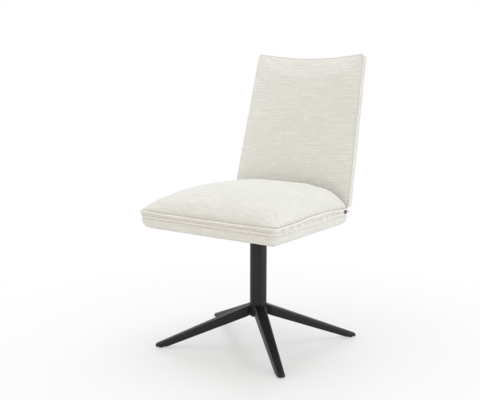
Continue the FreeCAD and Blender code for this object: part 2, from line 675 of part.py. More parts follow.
def seat_cover():
    outer = plan_block("border_outer", "Sizes.flange_projection", "Sizes.box_bottom", "Places.flange_bottom",
                       "Sizes.box_bottom_round", [size("box_bottom")])
    upper = plan_block("border_upper_hollow", "Places.cavity_inset",
                       "Places.board_top", "Places.flange_bottom")
    lower = plan_block("border_lower_hollow", "Sizes.board_inset - Sizes.board_play",
                       "Sizes.box_bottom + Sizes.box_lip_thickness", "Places.board_top")
    lip = plan_block("border_lip_opening", "Sizes.box_lip", "Sizes.box_bottom",
                     "Sizes.box_bottom + Sizes.box_lip_thickness")
    node(cut("seat_border", outer, upper, lower, lip), "seat_border")

    sheet = plan_block("flange_outer", "0", "Places.flange_bottom", "Places.flange_top",
                       "Sizes.flange_edge_round", [place("flange_bottom"), place("flange_top")])
    hole = plan_block("flange_hollow", "Places.cavity_inset", "Places.flange_bottom", "Places.flange_top")
    node(cut("seat_flange", sheet, hole), "seat_flange")

    welt = plan_block("welt_outer", "Sizes.flange_projection - Sizes.welt_projection",
                      "Places.welt_top - Sizes.welt_thickness", "Places.welt_top")
    inside = plan_block("welt_hollow", "Sizes.flange_projection",
                        "Places.welt_top - Sizes.welt_thickness", "Places.welt_top")
    node(cut("seat_welt", welt, inside), "seat_welt")


def rounded_wire(corners, radius, bow=0.0):
    """Closed outline of four sides and tangent corner arcs; a bow dips the third side inward."""
    normal = (corners[1] - corners[0]).cross(corners[2] - corners[1])
    tilt = 2 * math.atan(2 * bow / corners[2].distanceToPoint(corners[3]))
    starts, ends, arcs = [], [], []
    for i, corner in enumerate(corners):
        before = (corners[i - 1] - corner).normalize()
        after = (corners[(i + 1) % 4] - corner).normalize()
        if i == 2:
            after = FreeCAD.Rotation(normal, math.degrees(tilt)).multVec(after)
        if i == 3:
            before = FreeCAD.Rotation(normal, -math.degrees(tilt)).multVec(before)
        half = before.getAngle(after) / 2
        starts.append(corner + before * (radius / math.tan(half)))
        ends.append(corner + after * (radius / math.tan(half)))
        middle = (before + after).normalize()
        centre = corner + middle * (radius / math.sin(half))
        arcs.append(Part.Arc(starts[i], centre - middle * radius, ends[i]).toShape())
    edges = []
    for i in range(4):
        start, end = ends[i], starts[(i + 1) % 4]
        edges.append(arcs[i])
        if i == 2 and bow:
            inward = (corners[0] + corners[1] - corners[2] - corners[3]).normalize()
            sagitta = start.distanceToPoint(end) / 2 * math.tan(tilt / 2)
            edges.append(Part.Arc(start, (start + end) * 0.5 + inward * sagitta, end).toShape())
        else:
            edges.append(Part.LineSegment(start, end).toShape())
    return Part.Wire(edges)


def dome_share(inset, half_span, fullness):
    """Height of a stuffed cushion at an inset from its seam, as a share of its crown."""
    return 1 - (1 - inset / half_span) ** fullness


def seat_cushion():
    """Crown of the seat: a ruled loft through level outlines that draw in towards its top."""
    front = -size("seat_front") + size("crown_inset")
    seam = place("flange_top")
    rear = size("back_foot") - size("crown_gap")
    taper, secant = place("side_taper"), place("side_secant")
    half_depth = (rear - front) / 2
    outlines = []
    for share in SEAT_LOFT_SHARES:
        inset = share * half_depth
        low, high = front + inset, rear - inset

        def half_width(y):
            return size("seat_rear_width") / 2 + (size("seat_rear") - y) * taper - (
                size("crown_inset") + inset) * secant

        height = seam + size("crown_height") * dome_share(inset, half_depth, size("crown_fullness"))
        radius = min(size("seat_corner_round") + size("crown_growth_ratio") * inset,
                     size("round_share") * (high - low))
        outlines.append(rounded_wire([
            Vector(-half_width(low), low, height), Vector(half_width(low), low, height),
            Vector(half_width(high), high, height), Vector(-half_width(high), high, height)], radius))
    part = doc.addObject("Part::Feature", "seat_cushion")
    part.Shape = Part.makeLoft(outlines, True, True)
    node(part, "seat_cushion")


def back_placement(part):
    """Stand a piece drawn in the back's own frame on its foot and lean it."""
    part.Placement = FreeCAD.Placement(Vector(0, 0, 0), FreeCAD.Rotation(Vector(1, 0, 0), -1))
    bind(part, Placement__Rotation__Angle="-Sizes.back_lean")
    return move(part, "0", "Sizes.back_foot", "Sizes.seam_height")


def back_wire(inset, depth):
    """Outline of the back in its own frame: X across, Z up along the back, Y through it."""
    low = size("back_gap") + inset
    high = place("back_length") - inset

    def half_width(up):
        return size("back_bottom_width") / 2 - up * place("back_taper") - inset

    radius = min(size("back_corner_round") + size("back_growth_ratio") * max(inset, 0),
                 size("round_share") * (high - low))
    return rounded_wire([
        Vector(-half_width(low), depth, low), Vector(half_width(low), depth, low),
        Vector(half_width(high), depth, high), Vector(-half_width(high), depth, high)],
        radius, bow=size("back_dip") * (1 - inset / half_width(high)))


def back_slab(inset, front, rear):
    """Flat slab with the back's outline, between two depths."""
    return Part.Face(back_wire(inset, front)).extrude(Vector(0, rear - front, 0))


def back_feature(label, shape):
    part = doc.addObject("Part::Feature", label)
    part.Shape = shape
    back_placement(part)
    return node(part, label)


def bracket_slots(front, rear, low, high):
    """Room for both brackets inside the padding."""
    width = size("bracket_width") + 2 * size("bracket_clearance")
    return [Part.makeBox(width, rear - front, high - low,
                         Vector(side * place("bracket_half") - width / 2, front, low))
            for side in (1, -1)]


def screw_places():
    return [(side * place("bracket_half"), size(height)) for side in (1, -1)
            for height in ("screw_low", "screw_high")]


def along_depth(radius, front, rear, x, up):
    return Part.makeCylinder(radius, rear - front, Vector(x, front, up), Vector(0, 1, 0))


def back():
    clearance = size("bracket_clearance")
    panel_front, panel_rear = place("panel_front"), place("panel_rear")
    head_rear = panel_rear + size("screw_head_height")
    bracket_top = size("bracket_reach") + clearance

    panel = back_slab(size("panel_inset"), panel_front, panel_rear)
    for x, up in screw_places():
        panel = panel.cut(along_depth(size("screw_diameter") / 2, panel_front, panel_rear, x, up))
    back_feature("back_panel", panel)

    foam = back_slab(size("panel_inset"), 0, panel_front)
    for slot in bracket_slots(0, panel_front, 0, bracket_top):
        foam = foam.cut(slot)
    back_feature("back_foam", foam)

    thickness = size("back_thickness")
    shell = back_slab(0, 0, thickness)
    rear_edges = [edge for edge in shell.Edges
                  if all(abs(vertex.Point.y - thickness) < TOUCHING for vertex in edge.Vertexes)]
    shell = shell.makeFillet(size("back_edge_round"), rear_edges)
    shell = shell.cut(back_slab(size("panel_inset") - clearance, 0, panel_rear + clearance))
    for slot in bracket_slots(0, panel_front, 0, bracket_top):
        shell = shell.cut(slot)
    for x, up in screw_places():
        shell = shell.cut(along_depth(size("screw_head_diameter") / 2 + clearance, panel_rear,
                                      head_rear + clearance, x, up))
    back_feature("back_rear_cushion", shell)

    outlines = []
    half_span = min(size("back_top_width"), place("back_length") - size("back_gap")) / 2
    for share in BACK_LOFT_SHARES:
        inset = share * half_span
        rise = size("back_crown") * dome_share(inset, half_span, size("back_fullness"))
        outlines.append(back_wire(inset, -rise))
    back_feature("back_front_cushion", Part.makeLoft(outlines, True, True))

    half = size("piping_thickness") / 2
    piping = back_slab(-size("piping_width"), -half, half)
    outer_edges = [edge for edge in piping.Edges if edge.BoundBox.YLength < TOUCHING]
    piping = piping.makeChamfer(size("piping_edge_slope"), outer_edges)
    piping = piping.cut(back_slab(0, -2 * half, 2 * half))
    for slot in bracket_slots(-clearance, panel_front, 0, size("back_gap")):
        piping = piping.cut(slot)
    back_feature("back_piping", piping)


def brackets():
    """Cranked flat bars: a foot on the seat board, then up the back's lean."""
    lean = math.radians(size("back_lean"))
    inner_y = place("foot_rear") + size("bracket_thickness") * math.tan(lean)
    outer_y = place("foot_rear") + size("bracket_thickness") / math.cos(lean)

    def along(y, height):
        return lambda edge: all(
            math.hypot(vertex.Point.y - y, vertex.Point.z - place(height)) < TOUCHING
            for vertex in edge.Vertexes)

    bars = []
    thickness = "Sizes.bracket_thickness"
    rise = "(Sizes.bracket_reach * cos(Sizes.back_lean * 1deg))"
    run = "(Sizes.bracket_reach * sin(Sizes.back_lean * 1deg))"
    across = "(%s / cos(Sizes.back_lean * 1deg))" % thickness
    front_foot = "(Places.foot_rear + {0} * tan(Sizes.back_lean * 1deg))".format(thickness)
    for name, sign in (("left", ""), ("right", "-")):
        body = new_body("bracket_" + name)
        profile = new_sketch(body, "bracket_profile_" + name, "YZ_Plane",
                             "{0}Places.bracket_half - Sizes.bracket_width / 2".format(sign))
        draw_polygon(profile, [
            ("Places.foot_front", "Places.board_top"),
            ("Places.foot_rear + " + across, "Places.board_top"),
            ("Sizes.back_foot + {0} + {1} * cos(Sizes.back_lean * 1deg)".format(run, thickness),
             "Sizes.seam_height + {0} - {1} * sin(Sizes.back_lean * 1deg)".format(rise, thickness)),
            ("Sizes.back_foot + " + run, "Sizes.seam_height + " + rise),
            (front_foot, "Places.foot_top"),
            ("Places.foot_front", "Places.foot_top")])
        bar = pad(body, profile, "Sizes.bracket_width")
        bar = round_edges(body, bar, "Sizes.bracket_bend", along(inner_y, "foot_top"))
        round_edges(body, bar, "Sizes.bracket_bend + " + thickness, along(outer_y, "board_top"))
        holes = new_sketch(body, "foot_holes_" + name, height="Places.board_top")
        for x, y in foot_hole_places():
            if x == sign + "Places.bracket_half":
                draw_circle(holes, x, y, "Sizes.screw_diameter / 2")
        pocket(body, holes, "2 * Sizes.bracket_thickness", upward=True)
        bars.append(body)
    screws = []
    for number, (x, up) in enumerate(screw_places()):
        tip = along_depth(size("screw_diameter") / 2, 0, place("panel_rear"), x, up)
        head = along_depth(size("screw_head_diameter") / 2, place("panel_rear"),
                           place("panel_rear") + size("screw_head_height"), x, up)
        screw = doc.addObject("Part::Feature", "panel_screw_%d" % number)
        screw.Shape = tip.fuse(head)
        back_placement(screw)
        screws.append(screw)
    node(group("back_brackets", [
        cut("bracket_drilled_left", bars[0], *screws[:2]),
        cut("bracket_drilled_right", bars[1], *screws[2:])]), "back_brackets")
    node(group("panel_screws", screws), "panel_screws")

    bolts, nuts = [], []
    low = "Places.board_bottom - Sizes.foot_nut_height"
    for number, (x, y) in enumerate(foot_hole_places()):
        tag = "_%d" % number
        head = rod("foot_bolt_head" + tag, "Sizes.screw_head_diameter / 2", "Sizes.screw_head_height",
                   x, y, "Places.foot_top")
        shank = rod("foot_bolt_shank" + tag, "Sizes.screw_diameter / 2",
                    "Places.foot_top - (%s)" % low, x, y, low)
        bolts.append(fuse("foot_bolt" + tag, head, shank))
        solid = hexagon("foot_nut_blank" + tag, "Sizes.foot_nut_flats", "Sizes.foot_nut_height", x, y, low)
        hole = rod("foot_nut_hole" + tag, "Sizes.screw_diameter / 2", "Sizes.foot_nut_height", x, y, low)
        nuts.append(cut("foot_nut" + tag, solid, hole))
    node(group("foot_bolts", bolts), "foot_bolts")
    node(group("foot_nuts", nuts), "foot_nuts")


def zip_placement(part):
    """Lay a piece drawn along +X, outward +Y, on the seat's side at the zip's rear end."""
    part.Placement = FreeCAD.Placement(Vector(0, 0, 0), FreeCAD.Rotation(Vector(0, 0, 1), -1))
    bind(part, Placement__Rotation__Angle="Places.zip_turn")
    return move(part, "Places.zip_wall", "Sizes.zip_rear", "Places.zip_height")


def zip_fastener():
    def strip(name, start, length, floor, thickness, width):
        return block(name, length, thickness, width, start, floor, "-(%s) / 2" % width)

    def chain_strip(name, start, length):
        return strip(name, start, length, "Sizes.tape_thickness", "Sizes.chain_thickness",
                     "Sizes.chain_width")

    tape = group("zip_tape", [
        strip("tape_strip", "0", "Sizes.zip_length", "0", "Sizes.tape_thickness", "Sizes.tape_width")])
    node(zip_placement(tape), "zip_tape")
    chain = group("zip_chain", [
        chain_strip("chain_teeth", "Sizes.stop_length", "Sizes.zip_length - 2 * Sizes.stop_length")])
    node(zip_placement(chain), "zip_chain")
    stops = group("zip_stops", [
        chain_strip("stop_rear", "0", "Sizes.stop_length"),
        chain_strip("stop_front", "Sizes.zip_length - Sizes.stop_length", "Sizes.stop_length")])
    node(zip_placement(stops), "zip_stops")

    body = new_body("slider_plate_and_sides")
    channel = "(Sizes.chain_width / 2 + Sizes.slider_clearance)"
    wide = "(Sizes.slider_width / 2)"
    section = new_sketch(body, "slider_section", "YZ_Plane", "Places.slider_start")
    draw_polygon(section, [
        ("Places.slider_floor", "-" + wide), ("Places.slider_top", "-" + wide),
        ("Places.slider_top", wide), ("Places.slider_floor", wide),
        ("Places.slider_floor", channel), ("Places.slider_ceiling", channel),
        ("Places.slider_ceiling", "-" + channel), ("Places.slider_floor", "-" + channel)])
    pad(body, section, "Sizes.slider_length")
    ears = []
    for name, low in (("upper", "Sizes.pull_width / 2 + Sizes.slider_clearance"),
                      ("lower", "-Sizes.pull_width / 2 - Sizes.slider_clearance - Sizes.ear_thickness")):
        foot = block("ear_foot_" + name, "Sizes.ear_length", "Places.pin_out - Places.slider_top",
                     "Sizes.ear_thickness", "Places.pin_along - Sizes.ear_length / 2",
                     "Places.slider_top", low)
        tip = rod("ear_tip_" + name, "Sizes.ear_length / 2", "Sizes.ear_thickness",
                  "Places.pin_along", "Places.pin_out", low)
        ears += [foot, tip]
    reach = "(Sizes.pull_width / 2 + Sizes.slider_clearance + Sizes.ear_thickness)"
    pin = rod("pull_pin", "Sizes.pin_diameter / 2", "2 * " + reach,
              "Places.pin_along", "Places.pin_out", "-" + reach)
    node(zip_placement(fuse("zip_slider", body, pin, *ears)), "zip_slider")

    bar = block("pull_bar", "Sizes.pull_length", "Sizes.pull_thickness", "Sizes.pull_width",
                "Places.pin_along - Sizes.pull_length", "Places.pin_out - Sizes.pull_thickness / 2",
                "-Sizes.pull_width / 2")
    eye = rod("pull_eye", "Sizes.pin_diameter", "Sizes.pull_width", "Places.pin_along", "Places.pin_out",
              "-Sizes.pull_width / 2")
    bore = rod("pull_bore", "Sizes.pin_diameter / 2 + Sizes.pull_clearance", "Sizes.pull_width",
               "Places.pin_along", "Places.pin_out", "-Sizes.pull_width / 2")
    node(zip_placement(cut("zip_pull", fuse("pull_blank", bar, eye), bore)), "zip_pull")


def check_document():
    """Stop if any object failed or any sub-part has no valid shape."""
    for item in doc.Objects:
        if "Invalid" in item.State or "Error" in item.State:
            raise RuntimeError("%s did not recompute: %s" % (item.Label, item.State))
    for part in NODES:
        if part.Shape.isNull() or not part.Shape.isValid() or not part.Shape.Solids:
            raise RuntimeError("%s has no valid solid" % part.Label)


def main():
    bush_and_column()
    legs_and_glides()
    spindle_and_plate()
    plate_fasteners()
    seat_box()
    seat_cover()
    seat_cushion()
    back()
    brackets()
    zip_fastener()
    doc.recompute()
    check_document()
    os.makedirs("parts", exist_ok=True)
    for part in NODES:
        part.Shape.exportStep("parts/%s.step" % part.Label)
        box = part.Shape.BoundBox
        print("%-20s solids %d  volume %10.1f  z %7.1f to %7.1f" % (
            part.Label, len(part.Shape.Solids), part.Shape.Volume, box.ZMin, box.ZMax))


main()
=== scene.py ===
"""Dress the upholstered swivel chair: covers, seams, zip, base finish, studio floor, lights and camera."""

import math

import bpy
import numpy as np
from bpy.props import FloatProperty, FloatVectorProperty, PointerProperty
from mathutils import Matrix, Vector, kdtree


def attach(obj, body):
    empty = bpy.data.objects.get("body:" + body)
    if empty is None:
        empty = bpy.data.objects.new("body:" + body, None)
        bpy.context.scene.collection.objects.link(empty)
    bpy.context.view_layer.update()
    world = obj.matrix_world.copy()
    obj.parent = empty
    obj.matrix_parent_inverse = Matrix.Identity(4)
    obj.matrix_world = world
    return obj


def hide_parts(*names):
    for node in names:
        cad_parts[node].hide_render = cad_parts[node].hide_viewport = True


bl_info = {
    "name": "Upholstered Swivel Chair",
    "version": (1, 0, 0),
    "blender": (4, 5, 0),
    "location": "3D View > Sidebar > Chair",
    "description": "Builds the covers, seams, zip and finishes of an upholstered swivel chair",
    "category": "Add Mesh",
}

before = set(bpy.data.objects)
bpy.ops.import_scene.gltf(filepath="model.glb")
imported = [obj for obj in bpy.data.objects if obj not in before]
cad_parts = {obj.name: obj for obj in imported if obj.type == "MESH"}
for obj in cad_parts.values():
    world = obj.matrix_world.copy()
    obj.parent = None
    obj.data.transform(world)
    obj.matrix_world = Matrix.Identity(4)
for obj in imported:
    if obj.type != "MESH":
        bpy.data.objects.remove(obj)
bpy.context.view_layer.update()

# Lengths are in millimetres and angles in degrees, unless a comment says otherwise. Shares run from 0 to 1.
MM = 0.001
SAME_PLACE = 1e-6  # metres
SEWN_WITHIN = 1e-5  # metres
CLOTH_FRAMES = 20
ARC_POINTS = 12

# The seat's plan and seams
SEAM_HEIGHT = 418.0
SEAT_FRONT = 262.0
SEAT_REAR = 171.0
SEAT_REAR_HALF = 217.0
SEAT_TAPER = 0.083141
SEAT_REAR_CORNER = 24.0
SEAT_FRONT_CORNER = 28.0
FOLD_FRONT_CORNER = 19.0
SEAM_POINT_GAP = 5.0
SEAM_BAND = 40.0  # how far in from the front and the sides the seam leaves its level
LOWER_SEAM = 403.4

# The crown
CROWN_COLUMNS = 85
CROWN_ROWS = 71
CROWN_IN = 8.0
CROWN_SWELL = 5.0
CROWN_FOOT = 419.6
CROWN_REAR = 154.5
CROWN_SIDE_POWER = 3.3
CROWN_LEFT_POWER = 3.4  # more at the sitter's left rear
CROWN_FRONT_POWER = 2.0
CROWN_REAR_POWER = 7.5

# The border. Each row of its walls is an inset, a height over its bottom and a share of the seam's lift.
BORDER_BOTTOM = 368.0
BORDER_ROUND = 28.0
FOLDED_WALL = (
    (4.7, 48.4, 1), (2.6, 47.6, 1), (1.7, 46.2, 1), (1.6, 44.4, 1), (2.6, 43.0, 1),
    (4.4, 42.2, 0.9), (4.4, 41.2, 0.7), (3.0, 40.2, 0.5), (2.3, 38.8, 0.3), (2.2, 37.0, 0.15),
    (2.7, 35.6, 0.1), (3.6, 33.6, 0), (5.4, 32.2, 0), (5.4, 30.8, 0), (4.2, 29.4, 0.0))
ZIPPED_WALL = (
    (4.7, 48.4, 1), (4.6, 47.4, 1), (4.5, 46.5, 1), (4.4, 45.0, 0.8), (4.3, 43.4, 0.6),
    (4.3, 42.2, 0.45), (4.3, 41.0, 0.35), (4.3, 39.6, 0.2), (4.3, 38.2, 0.1), (4.4, 37.0, 0.0),
    (4.6, 36.0, 0), (5.0, 33.6, 0), (5.1, 32.2, 0), (4.9, 30.9, 0), (4.1, 29.6, 0.0))
ZIPPED_SIDE = 205  # the zipped wall is at x past this
ZIPPED_FRONT = 238
ZIPPED_REAR = 156
BORDER_INSIDE = (
    (36, 0), (45, 0), (45, 3), (30, 3.2), (16, 5.2), (13.2, 6.5), (13.2, 20.5), (8, 21.8), (6.6, 24),
    (6.6, 44))
BORDER_LIP = (6.6, 48.4)

# The fold over the seam, as insets and heights from the seam
FOLD_DEPTH = 10
FOLD_SECTION = (
    (FOLD_DEPTH, 0), (7, -1.2), (3, -2.3), (1.1, -2.3), (0.3, -1.4), (0, 0.1), (0.3, 1.7), (1.2, 2.8),
    (2.4, 2.9), (3.8, 1.9), (5.2, 0.5), (6.4, 0.5), (8.2, 1.4), (FOLD_DEPTH, 1.4))

# The flaps under the back: their runs in x between the brackets, and their section in y and height
FLAP_RUNS = ((-211, -131.2), (-98.8, 98.8), (131.2, 211))
FLAP_SECTION = (
    (154.8, 0), (163.4, 0), (163.6, 0.3), (163.4, 0.6), (154.8, 0.6), (154.6, 0.3), (154.8, 0))

# The back
BACK_FOOT_Y = 155.5
BACK_LEAN = math.radians(13.55)
BACK_LOW = 5.0
BACK_LENGTH = 475.2
BACK_FOOT_HALF = 216.5
BACK_TOP_HALF = 195.5
BACK_THICK = 22.5
BACK_DIP = 16.0
BACK_DROP = 4.5
BACK_CORNER = 10.0
BACK_COLUMNS = 61
BACK_ROWS = 71
BACK_SEAM_DEEP = -0.1
BACK_CROWN = 10.5
BOXING_ROUND = 4
# Insets and depths of the boxing's edge
BOXING_EDGE = ((9, 0.5), (2, 0.5), (0.5, 0.8), (0, 1.6), (0.25, 5), (0.35, 10), (0.2, 15))

# The zip, from its rear end forwards
ZIP_REAR = (215.07, 146.0, 410.4)
ZIP_ALONG = (0.08286, -0.99656)
ZIP_LENGTH = 370.0
ZIP_END = 2.4
TOOTH_PITCH = 0.86
TOOTH_SIDE = 0.85
PIN_ALONG = 8.9
PIN_OUT = 5.6

# The base
COLUMN_RADIUS = 25.4
LEG_TOP = 123.5
LEG_ROOT_DEPTH = 30.0
LEG_NECK_HALF = 14.0
LEG_CORNER = 6.0
LEG_TURNS = (-134.2, -41.6, 49.3, 153.7)

STAPLE_INSET = 31.5
STAPLE_PITCH = 38

# The camera and the lamps, in metres and watts
CAMERA_PLACE = (1.4295, -1.9257, 0.8010)
CAMERA_YAW = 37.914
CAMERA_DIP = 8.514
CAMERA_LENS = 60.873  # millimetres on a sensor 36 mm wide
LAMPS_AIM = 0.45
LAMPS = (
    ("overhead_softbox", (-0.2, 0.3, 2.7), 2.2, 41, (0.88, 0.95, 1.0)),
    ("right_soft_light", (2.5, 0.3, 0.5), 1.5, 28, (0.93, 0.97, 1.0)),
    ("left_soft_light", (-1.9, -0.7, 1.1), 1.3, 8.5, (0.92, 0.96, 1.0)),
    ("front_fill", (0.3, -2.8, 0.3), 1.4, 21, (1.0, 0.94, 0.86)),
)


# ---- modelling

def only(piece):
    """Make the piece the one that is selected and active."""
    bpy.ops.object.select_all(action="DESELECT")
    piece.select_set(True)
    bpy.context.view_layer.objects.active = piece


def subdivided(piece):
    """Give the piece one level of subdivision."""
    only(piece)
    modifier = piece.modifiers.new("subdivision", "SUBSURF")
    modifier.levels = modifier.render_levels = 1
    bpy.ops.object.modifier_apply(modifier=modifier.name)
    return piece


def places(piece):
    """The piece's points as rows of x, y and z in metres."""
    points = np.empty(len(piece.data.vertices) * 3)
    piece.data.vertices.foreach_get("co", points)
    return points.reshape(-1, 3)


def place(piece, points):
    """Move the piece's points to these, in metres."""
    piece.data.vertices.foreach_set("co", np.asarray(points).reshape(-1))
    piece.data.update()


def edit(piece, merge):
    """Merge the piece's points nearer than this, unless it is zero, and turn its faces outwards."""
    only(piece)
    bpy.ops.object.mode_set(mode="EDIT")
    bpy.ops.mesh.select_all(action="SELECT")
    if merge:
        bpy.ops.mesh.remove_doubles(threshold=merge)
    bpy.ops.mesh.normals_make_consistent(inside=False)
    bpy.ops.object.mode_set(mode="OBJECT")
    bpy.ops.object.shade_smooth()


def run_length(points, axis):
    """The length run along an axis of a grid of points, from zero at its middle."""
    run = np.cumsum(np.linalg.norm(np.diff(points, axis=axis), axis=2), axis=axis)
    run = np.concatenate([np.zeros_like(np.take(run, [0], axis=axis)), run], axis=axis)
    return run - np.take(run, [run.shape[axis] // 2], axis=axis)


def skin(name, points, ring=False, tube=False):
    """Lay a grid primitive on rows of points in millimetres. A ring joins each row's ends, and a tube joins
    the first and last rows. Its UV map "cloth" holds the surface's own measure in metres."""
    points = np.asarray(points, float) * MM
    rows, columns = points.shape[:2]
    bpy.ops.mesh.primitive_grid_add(
        x_subdivisions=columns - 1, y_subdivisions=rows - 1, size=1, calc_uvs=True)
    piece = bpy.context.object
    piece.name = piece.data.name = name
    if len(piece.data.vertices) != rows * columns:
        raise RuntimeError(f"{name}: the grid hasn't {rows * columns} points")
    place(piece, points)
    along = run_length(points, 1)
    if ring:
        along = np.broadcast_to(along[np.argmax(np.ptp(along, axis=1))], along.shape)
    chart = np.stack([along, run_length(points, 0)], axis=2).reshape(-1, 2)
    corners = np.empty(len(piece.data.loops), int)
    piece.data.loops.foreach_get("vertex_index", corners)
    piece.data.uv_layers[0].name = "cloth"
    piece.data.uv_layers[0].data.foreach_set("uv", chart[corners].reshape(-1))
    edit(piece, SAME_PLACE if ring or tube else 0.0)
    return piece


def unit(ways):
    """These directions made 1 long."""
    return ways / np.linalg.norm(ways, axis=-1, keepdims=True)


def solid(name, loops):
    """A closed solid through stacked loops of points."""
    loops = np.asarray(loops, float)
    first, last = (np.broadcast_to(loop[:-1].mean(axis=0), loop.shape) for loop in (loops[0], loops[-1]))
    return skin(name, np.concatenate([[first], loops, [last]]), ring=True)


def bar(name, path, radius, sides=8, aside=(0, 0, 1)):
    """A round bar along a path of points; aside is a direction that the path never takes."""
    path = np.asarray(path, float)
    ahead = unit(np.gradient(path, axis=0))
    across = unit(np.cross(ahead, aside))
    over = np.cross(ahead, across)
    turns = np.linspace(0, 2 * math.pi, sides + 1)
    reach = np.broadcast_to(radius, len(path))[:, None, None]
    loops = path[:, None] + reach * (
        np.cos(turns)[None, :, None] * across[:, None] + np.sin(turns)[None, :, None] * over[:, None])
    return solid(name, loops)


def join(name, pieces):
    """Join the pieces into one."""
    bpy.ops.object.select_all(action="DESELECT")
    for piece in pieces:
        piece.select_set(True)
    bpy.context.view_layer.objects.active = pieces[0]
    bpy.ops.object.join()
    joined = bpy.context.object
    joined.name = joined.data.name = name
    return joined


def sewn(name, pieces):
    """Join the pieces and merge them where their edges meet."""
    piece = join(name, pieces)
    edit(piece, SEWN_WITHIN)
    return piece


def bead(name, length, width, height, sides=6, rings=4):
    """A small rounded bar at the origin, long in x, as a pattern to repeat."""
    bpy.ops.mesh.primitive_uv_sphere_add(segments=sides, ring_count=rings, radius=0.5)
    pattern = bpy.context.object
    pattern.name = name
    turned = places(pattern)[:, [2, 0, 1]]
    place(pattern, turned * np.array([length, width, height]) * MM)
    return pattern


def repeated(name, pattern, spots, ahead, up):
    """Copy the pattern to each spot in millimetres, with its x ahead and its z up, and join the copies."""
    copies = []
    for spot, way, top in zip(spots, np.broadcast_to(ahead, spots.shape), np.broadcast_to(up, spots.shape)):
        way = Vector(way)
        aside = Vector(top).cross(way).normalized()
        turn = Matrix((way, aside, way.cross(aside))).transposed().to_4x4()
        copy = pattern.copy()
        copy.data = pattern.data.copy()
        copy.matrix_world = Matrix.Translation(Vector(spot) * MM) @ turn
        bpy.context.scene.collection.objects.link(copy)
        copies.append(copy)
    bpy.data.objects.remove(pattern)
    piece = join(name, copies)
    bpy.ops.object.transform_apply(location=True, rotation=True, scale=True)
    bpy.ops.object.shade_smooth()
    return piece


def paced(path, pitch):
    """Spots about a pitch apart along a path, and the directions of travel there."""
    run = np.concatenate([[0], np.cumsum(np.linalg.norm(np.diff(path, axis=0), axis=1))])
    count = round(run[-1] / pitch)
    at = (np.arange(count) + 0.5) * run[-1] / count
    spots, onward = (
        np.column_stack([np.interp(a, run, path[:, i]) for i in range(3)]) for a in (at, at + 0.5))
    return spots, unit(onward - spots)


def cord(name, loop_at, radius, count):
    """A round cord; loop_at gives the loop that lies this far across and up from its middle line."""
    turns = np.linspace(0, 2 * math.pi, count)
    rows = [loop_at(radius * math.cos(turn), radius * math.sin(turn)) for turn in turns]
    return skin(name, rows, ring=True, tube=True)


def meets(piece, points):
    """Which of the piece's points lie on these points, which are in millimetres."""
    tree = kdtree.KDTree(len(points))
    for i, point in enumerate(points):
        tree.insert(point * MM, i)
    tree.balance()
    return np.array([tree.find(spot)[2] < SEWN_WITHIN for spot in places(piece)])


def blow(piece, held, pressure, cap):
    """Blow the piece up as cloth held at its seam, and let no point move further than the cap in metres."""
    start = places(piece)
    only(piece)
    seam = piece.vertex_groups.new(name="seam")
    seam.add([int(i) for i in np.flatnonzero(held)], 1.0, "REPLACE")
    bpy.ops.object.modifier_add(type="CLOTH")
    cloth = piece.modifiers[-1]
    settings = {
        "quality": 6, "mass": 0.25, "tension_stiffness": 12, "compression_stiffness": 8,
        "bending_stiffness": 0.6, "vertex_group_mass": seam.name, "use_pressure": True,
        "uniform_pressure_force": pressure}
    for name, value in settings.items():
        setattr(cloth.settings, name, value)
    cloth.settings.effector_weights.gravity = 0
    cloth.collision_settings.use_collision = False
    cloth.point_cache.frame_end = CLOTH_FRAMES
    for number in range(1, CLOTH_FRAMES + 1):
        bpy.context.scene.frame_set(number)
    bpy.ops.object.modifier_apply(modifier=cloth.name)
    bpy.context.scene.frame_set(1)
    move = places(piece) - start
    length = np.linalg.norm(move, axis=1, keepdims=True)
    move *= np.minimum(1, cap / np.maximum(length, 1e-9))
    place(piece, start + move)


def outline(corners, radii, gap):
    """Points about a gap apart round a shape with rounded corners, and the outward directions there. They are
    as many for any radii."""
    corners = np.asarray(corners, float)
    count = len(corners)
    arcs = []
    for i, corner in enumerate(corners):
        before = unit(corners[i - 1] - corner)
        after = unit(corners[(i + 1) % count] - corner)
        half = math.acos(np.dot(before, after)) / 2
        centre = corner + unit(before + after) * radii[i] / math.sin(half)
        start = math.atan2(before[0], -before[1])
        turns = np.linspace(start, start + math.pi - 2 * half, ARC_POINTS)
        ways = np.column_stack([np.cos(turns), np.sin(turns)])
        arcs.append((centre + ways * radii[i], ways))
    points = []
    outward = []
    for i, (arc, ways) in enumerate(arcs):
        following = arcs[(i + 1) % count][0][0]
        parts = round(np.linalg.norm(corners[(i + 1) % count] - corners[i]) / gap)
        share = np.arange(1, parts)[:, None] / parts
        points += [arc, arc[-1] + (following - arc[-1]) * share]
        outward += [ways, np.repeat(ways[-1:], parts - 1, axis=0)]
    return np.vstack(points), np.vstack(outward)


def round_corners(x, y, half, low, high, radius, which):
    """Draw a grid's corners in to quarter rounds of this radius, where which says so."""
    gap_x = half - np.abs(x)
    gap_y = np.minimum(y - low, high - y)
    corner = (gap_x < radius) & (gap_y < radius) & which
    across = np.where(corner, 1 - gap_x / radius, 0)
    along = np.where(corner, 1 - gap_y / radius, 0)
    near_x = radius * (1 - across * np.sqrt(1 - along * along / 2))
    near_y = radius * (1 - along * np.sqrt(1 - across * across / 2))
    rounded_y = np.where(y > (low + high) / 2, high - near_y, low + near_y)
    return np.where(corner, np.sign(x) * (half - near_x), x), np.where(corner, rounded_y, y)


def rim(rows):
    """The closed loop round the edge of a grid of values."""
    return np.concatenate([rows[0, :-1], rows[:-1, -1], rows[-1, :0:-1], rows[:0:-1, 0], rows[:1, 0]])


# ---- the seat's lines

def ramp(value, start, length):
    """0 up to the start, 1 from a length past it, and straight between them."""
    return np.clip((value - start) / length, 0, 1)


def seat_half(y):
    """Half the seat's width at its seam."""
    return SEAT_REAR_HALF + (SEAT_REAR - y) * SEAT_TAPER


